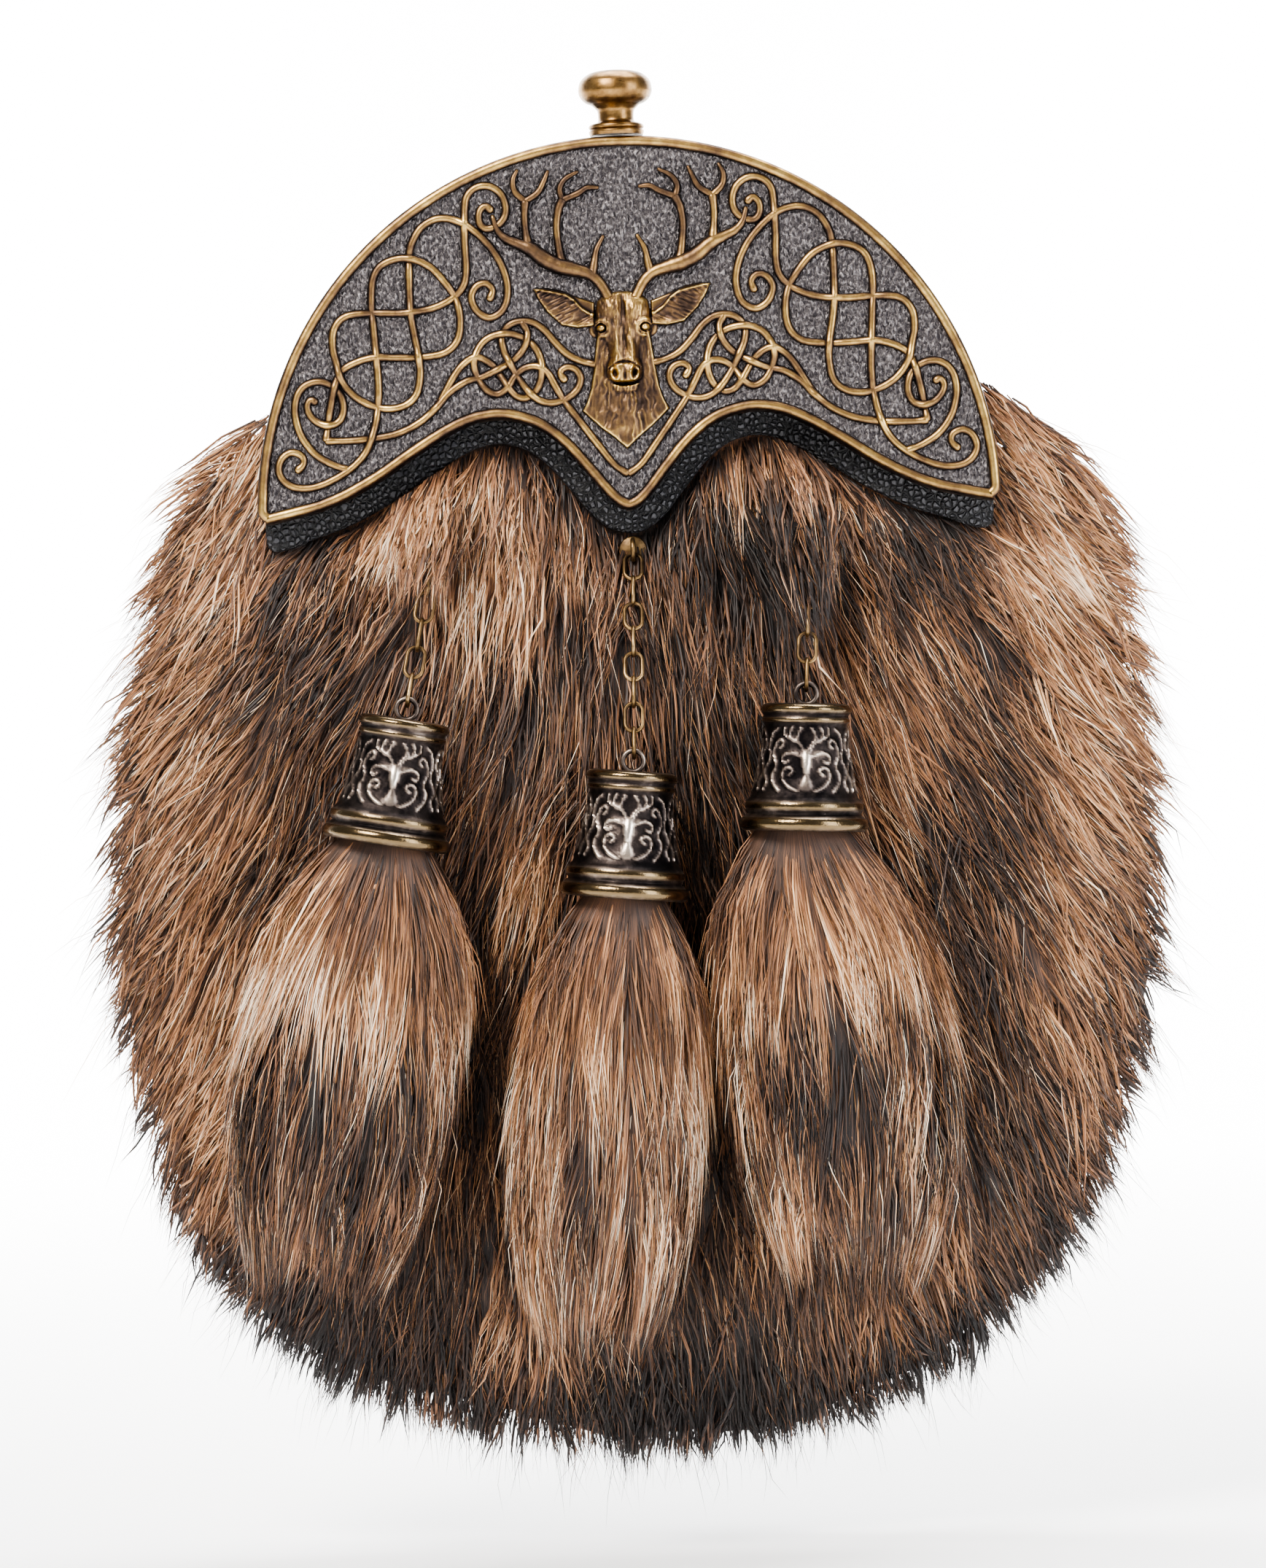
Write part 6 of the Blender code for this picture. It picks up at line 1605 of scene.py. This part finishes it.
def tasselHair(sideName):
    # hairs that run down the outside of a tassel and draw together into locks
    eyeX, eyeZ, lean, halfWidth, sway = tasselTable[sideName]
    frameOf = tasselFrame(eyeX, eyeZ, lean)
    n = tasselSizes["blades"] + tasselSizes["hairs"]
    rng = np.random.default_rng({"left": 61, "centre": 62, "right": 63}[sideName])
    blade = rng.uniform(0, 1, n) < tasselSizes["blades"] / n
    drop = rng.uniform(-0.04, 0.82, n)
    drop = np.where(rng.uniform(0, 1, n) < 0.2, rng.uniform(-0.04, 0.12, n), drop)
    angle = rng.uniform(0, 2 * math.pi, n)
    locks = 150
    lockDrop, lockAngle = rng.uniform(0, 0.8, locks), rng.uniform(0, 2 * math.pi, locks)
    gap = (angle[:, None] - lockAngle + math.pi) % (2 * math.pi) - math.pi
    nearest = np.argmin((drop[:, None] - lockDrop) ** 2 * 9 + gap ** 2, axis=1)
    lockTurn = rng.normal(0, 0.16, locks)
    run = tasselSizes["hairLength"] / tasselSizes["length"] * rng.uniform(0.75, 1.15, n)
    ends = 0.945 + 0.045 * smoothNoise(angle * 3 + 4, angle * 0 + 2, 71) + rng.normal(0, 0.04, n)
    run = np.clip(ends - drop, 0.05, run)
    gapOwn = (lockAngle[nearest] - angle + math.pi) % (2 * math.pi) - math.pi
    tipAngle = angle + lockTurn[nearest] + 0.35 * gapOwn + rng.normal(0, 0.05, n)
    stray = ~blade & (rng.uniform(0, 1, n) < 0.12)
    shareRoot, shareTip = 0.76, 0.97 + rng.normal(0, 0.06, n) + np.where(stray, 0.12, 0)
    width = np.where(blade, tasselSizes["bladeWidth"], tasselSizes["hairWidth"]) * rng.uniform(0.7, 1.35, n)
    tone = tasselTone(sideName, drop + run * 0.5, angle) + rng.normal(0, 0.07, locks)[nearest]
    tone = tone + rng.normal(0, 0.085, n)
    tone += ~blade * (rng.uniform(0, 1, n) < 0.6) * rng.uniform(0.25, 0.62, n) * smoothStep(drop, 0.10, 0.26)
    side = rng.normal(0, 1, (n, 3))
    outward = np.column_stack([np.cos(angle), np.sin(angle), np.zeros(n)]) @ frameOf[0].T
    side[blade] = side[blade] * 0.25 + outward[blade]
    parts = []
    top = blade & (rng.uniform(0, 1, n) < 0.35)
    for own, stations, flat in ((top, 4, 0.35), (blade & ~top, 3, 0.35), (~blade, 3, 1.0)):
        t = np.linspace(0, 1, stations)[None]
        share = shareRoot + (shareTip[own, None] - shareRoot) * t ** 0.8 + 0.05 * np.sin(t * math.pi)
        share = np.where(drop[own, None] < 0.02, np.minimum(share, 0.80 + 0.2 * t), share)
        path = tasselPoint(drop[own, None] + run[own, None] * t,
                           angle[own, None] + (tipAngle - angle)[own, None] * t,
                           share, halfWidth, sway)
        radii = width[own, None] * np.interp(t, hairStations, hairTaper)
        # painted shade: each hair is darker towards its root
        shade = np.interp(t, hairStations, [-0.24, -0.05, 0.05, 0.02])
        parts.append(strands(hung(path, frameOf), radii, side[own], np.clip(tone[own, None] + shade, 0, 1),
                             flat))
    points, quads, tris, values = joined(parts)
    piece = addMesh("tasselHair" + sideName.capitalize(), points, quads, tris, hairTassel,
                    {"hairTone": values[:, 0], "hairPlace": values[:, 1:]})
    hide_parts("tassel_fur_" + sideName)


for sideName in tasselTable:
    chainAndRing(sideName)
    tasselBell(sideName)
    tasselCore(sideName)
    tasselHair(sideName)
print("tassels and chains made")


# the stage, in metres
studio = {
    "floorZ": -0.24, "distance": 1.2, "lean": math.radians(2.0),
    "aim": (-0.0012, -0.0406, -0.0904), "frameHeight": 0.3056,
    "sensor": 36.0, "skyStrength": 0.34,
}

# lamps: name, place, the point it is turned to, width and height, watts and colour
lightTable = [
    ("keySoftbox", (-0.55, -0.95, 0.85), (0, 0, -0.06), (0.55, 0.55), 34, "#FFFAF4"),
    ("fillSoftbox", (0.95, -0.8, 0.15), (0, 0, -0.1), (0.5, 0.9), 13, "#F6F9FF"),
    ("topSoftbox", (0.1, 0.15, 0.8), (0, 0, -0.1), (0.8, 0.4), 20, "#FFFFFF"),
    ("wallLightLeft", (-1.2, 0.9, 1.0), (-1.1, 2.0, 0.25), (0.8, 1.2), 165, "#FFFFFF"),
    ("wallLightRight", (1.2, 0.9, 1.0), (1.1, 2.0, 0.25), (0.8, 1.2), 165, "#FFFFFF"),
]


def addStage():
    # pale paper: floor, a quarter round and a wall, as one sheet with a profile in y and z
    z = studio["floorZ"]
    turn = np.linspace(0, math.pi / 2, 16)
    nearY, bendY, bend, wallTop, halfWidth = -3.0, 1.2, 0.8, 3.2, 4.0
    sweep = [(bendY + bend * math.sin(a), z + bend * (1 - math.cos(a))) for a in turn]
    profile = [(nearY, z)] + sweep + [(bendY + bend, wallTop)]
    rows = np.array([[(-halfWidth, y, h), (halfWidth, y, h)] for y, h in profile])
    quads = gridQuads(len(profile), 2)
    mesh = bpy.data.meshes.new("paper")
    mesh.from_pydata(rows.reshape(-1, 3).tolist(), [], quads.tolist())
    mesh.shade_smooth()
    floor = bpy.data.objects.new("paperSweep", mesh)
    bpy.context.scene.collection.objects.link(floor)
    material, tree, shader = newMaterial("white_paper")
    shader.inputs["Base Color"].default_value = linearColour("#F6F6F6")
    shader.inputs["Roughness"].default_value = 0.9
    mesh.materials.append(material)


def addLight(name, place, aim, size, power, colour):
    # a rectangular softbox at a place, turned to its aim
    light = bpy.data.lights.new(name, "AREA")
    light.shape, light.size, light.size_y, light.energy = "RECTANGLE", size[0], size[1], power
    light.color = linearColour(colour)[:3]
    lamp = bpy.data.objects.new(name, light)
    lamp.location = place
    lamp.rotation_euler = (Vector(aim) - Vector(place)).to_track_quat("-Z", "Y").to_euler()
    bpy.context.scene.collection.objects.link(lamp)


def addCamera():
    # level with the aim point, and rolled so that the sporran leans as in the photograph
    c, s = math.cos(studio["lean"]), math.sin(studio["lean"])
    camera = bpy.data.cameras.new("camera")
    camera.sensor_fit, camera.sensor_height = "VERTICAL", studio["sensor"]
    camera.lens = studio["sensor"] * studio["distance"] / studio["frameHeight"]
    camera.clip_end = 20
    holder = bpy.data.objects.new("camera", camera)
    x, y, z = studio["aim"]
    holder.matrix_world = Matrix(((c, s, 0, x), (0, 0, -1, y - studio["distance"]), (-s, c, 0, z),
                                  (0, 0, 0, 1)))
    bpy.context.scene.collection.objects.link(holder)
    bpy.context.scene.camera = holder


addStage()
world = bpy.data.worlds.new("studio")
world.use_nodes = True
world.node_tree.nodes["Background"].inputs["Color"].default_value = linearColour("#FFFFFF")
world.node_tree.nodes["Background"].inputs["Strength"].default_value = studio["skyStrength"]
bpy.context.scene.world = world
for lamp in lightTable:
    addLight(*lamp)
addCamera()
bpy.context.scene.view_settings.look = "AgX - Medium High Contrast"
print("stage made")
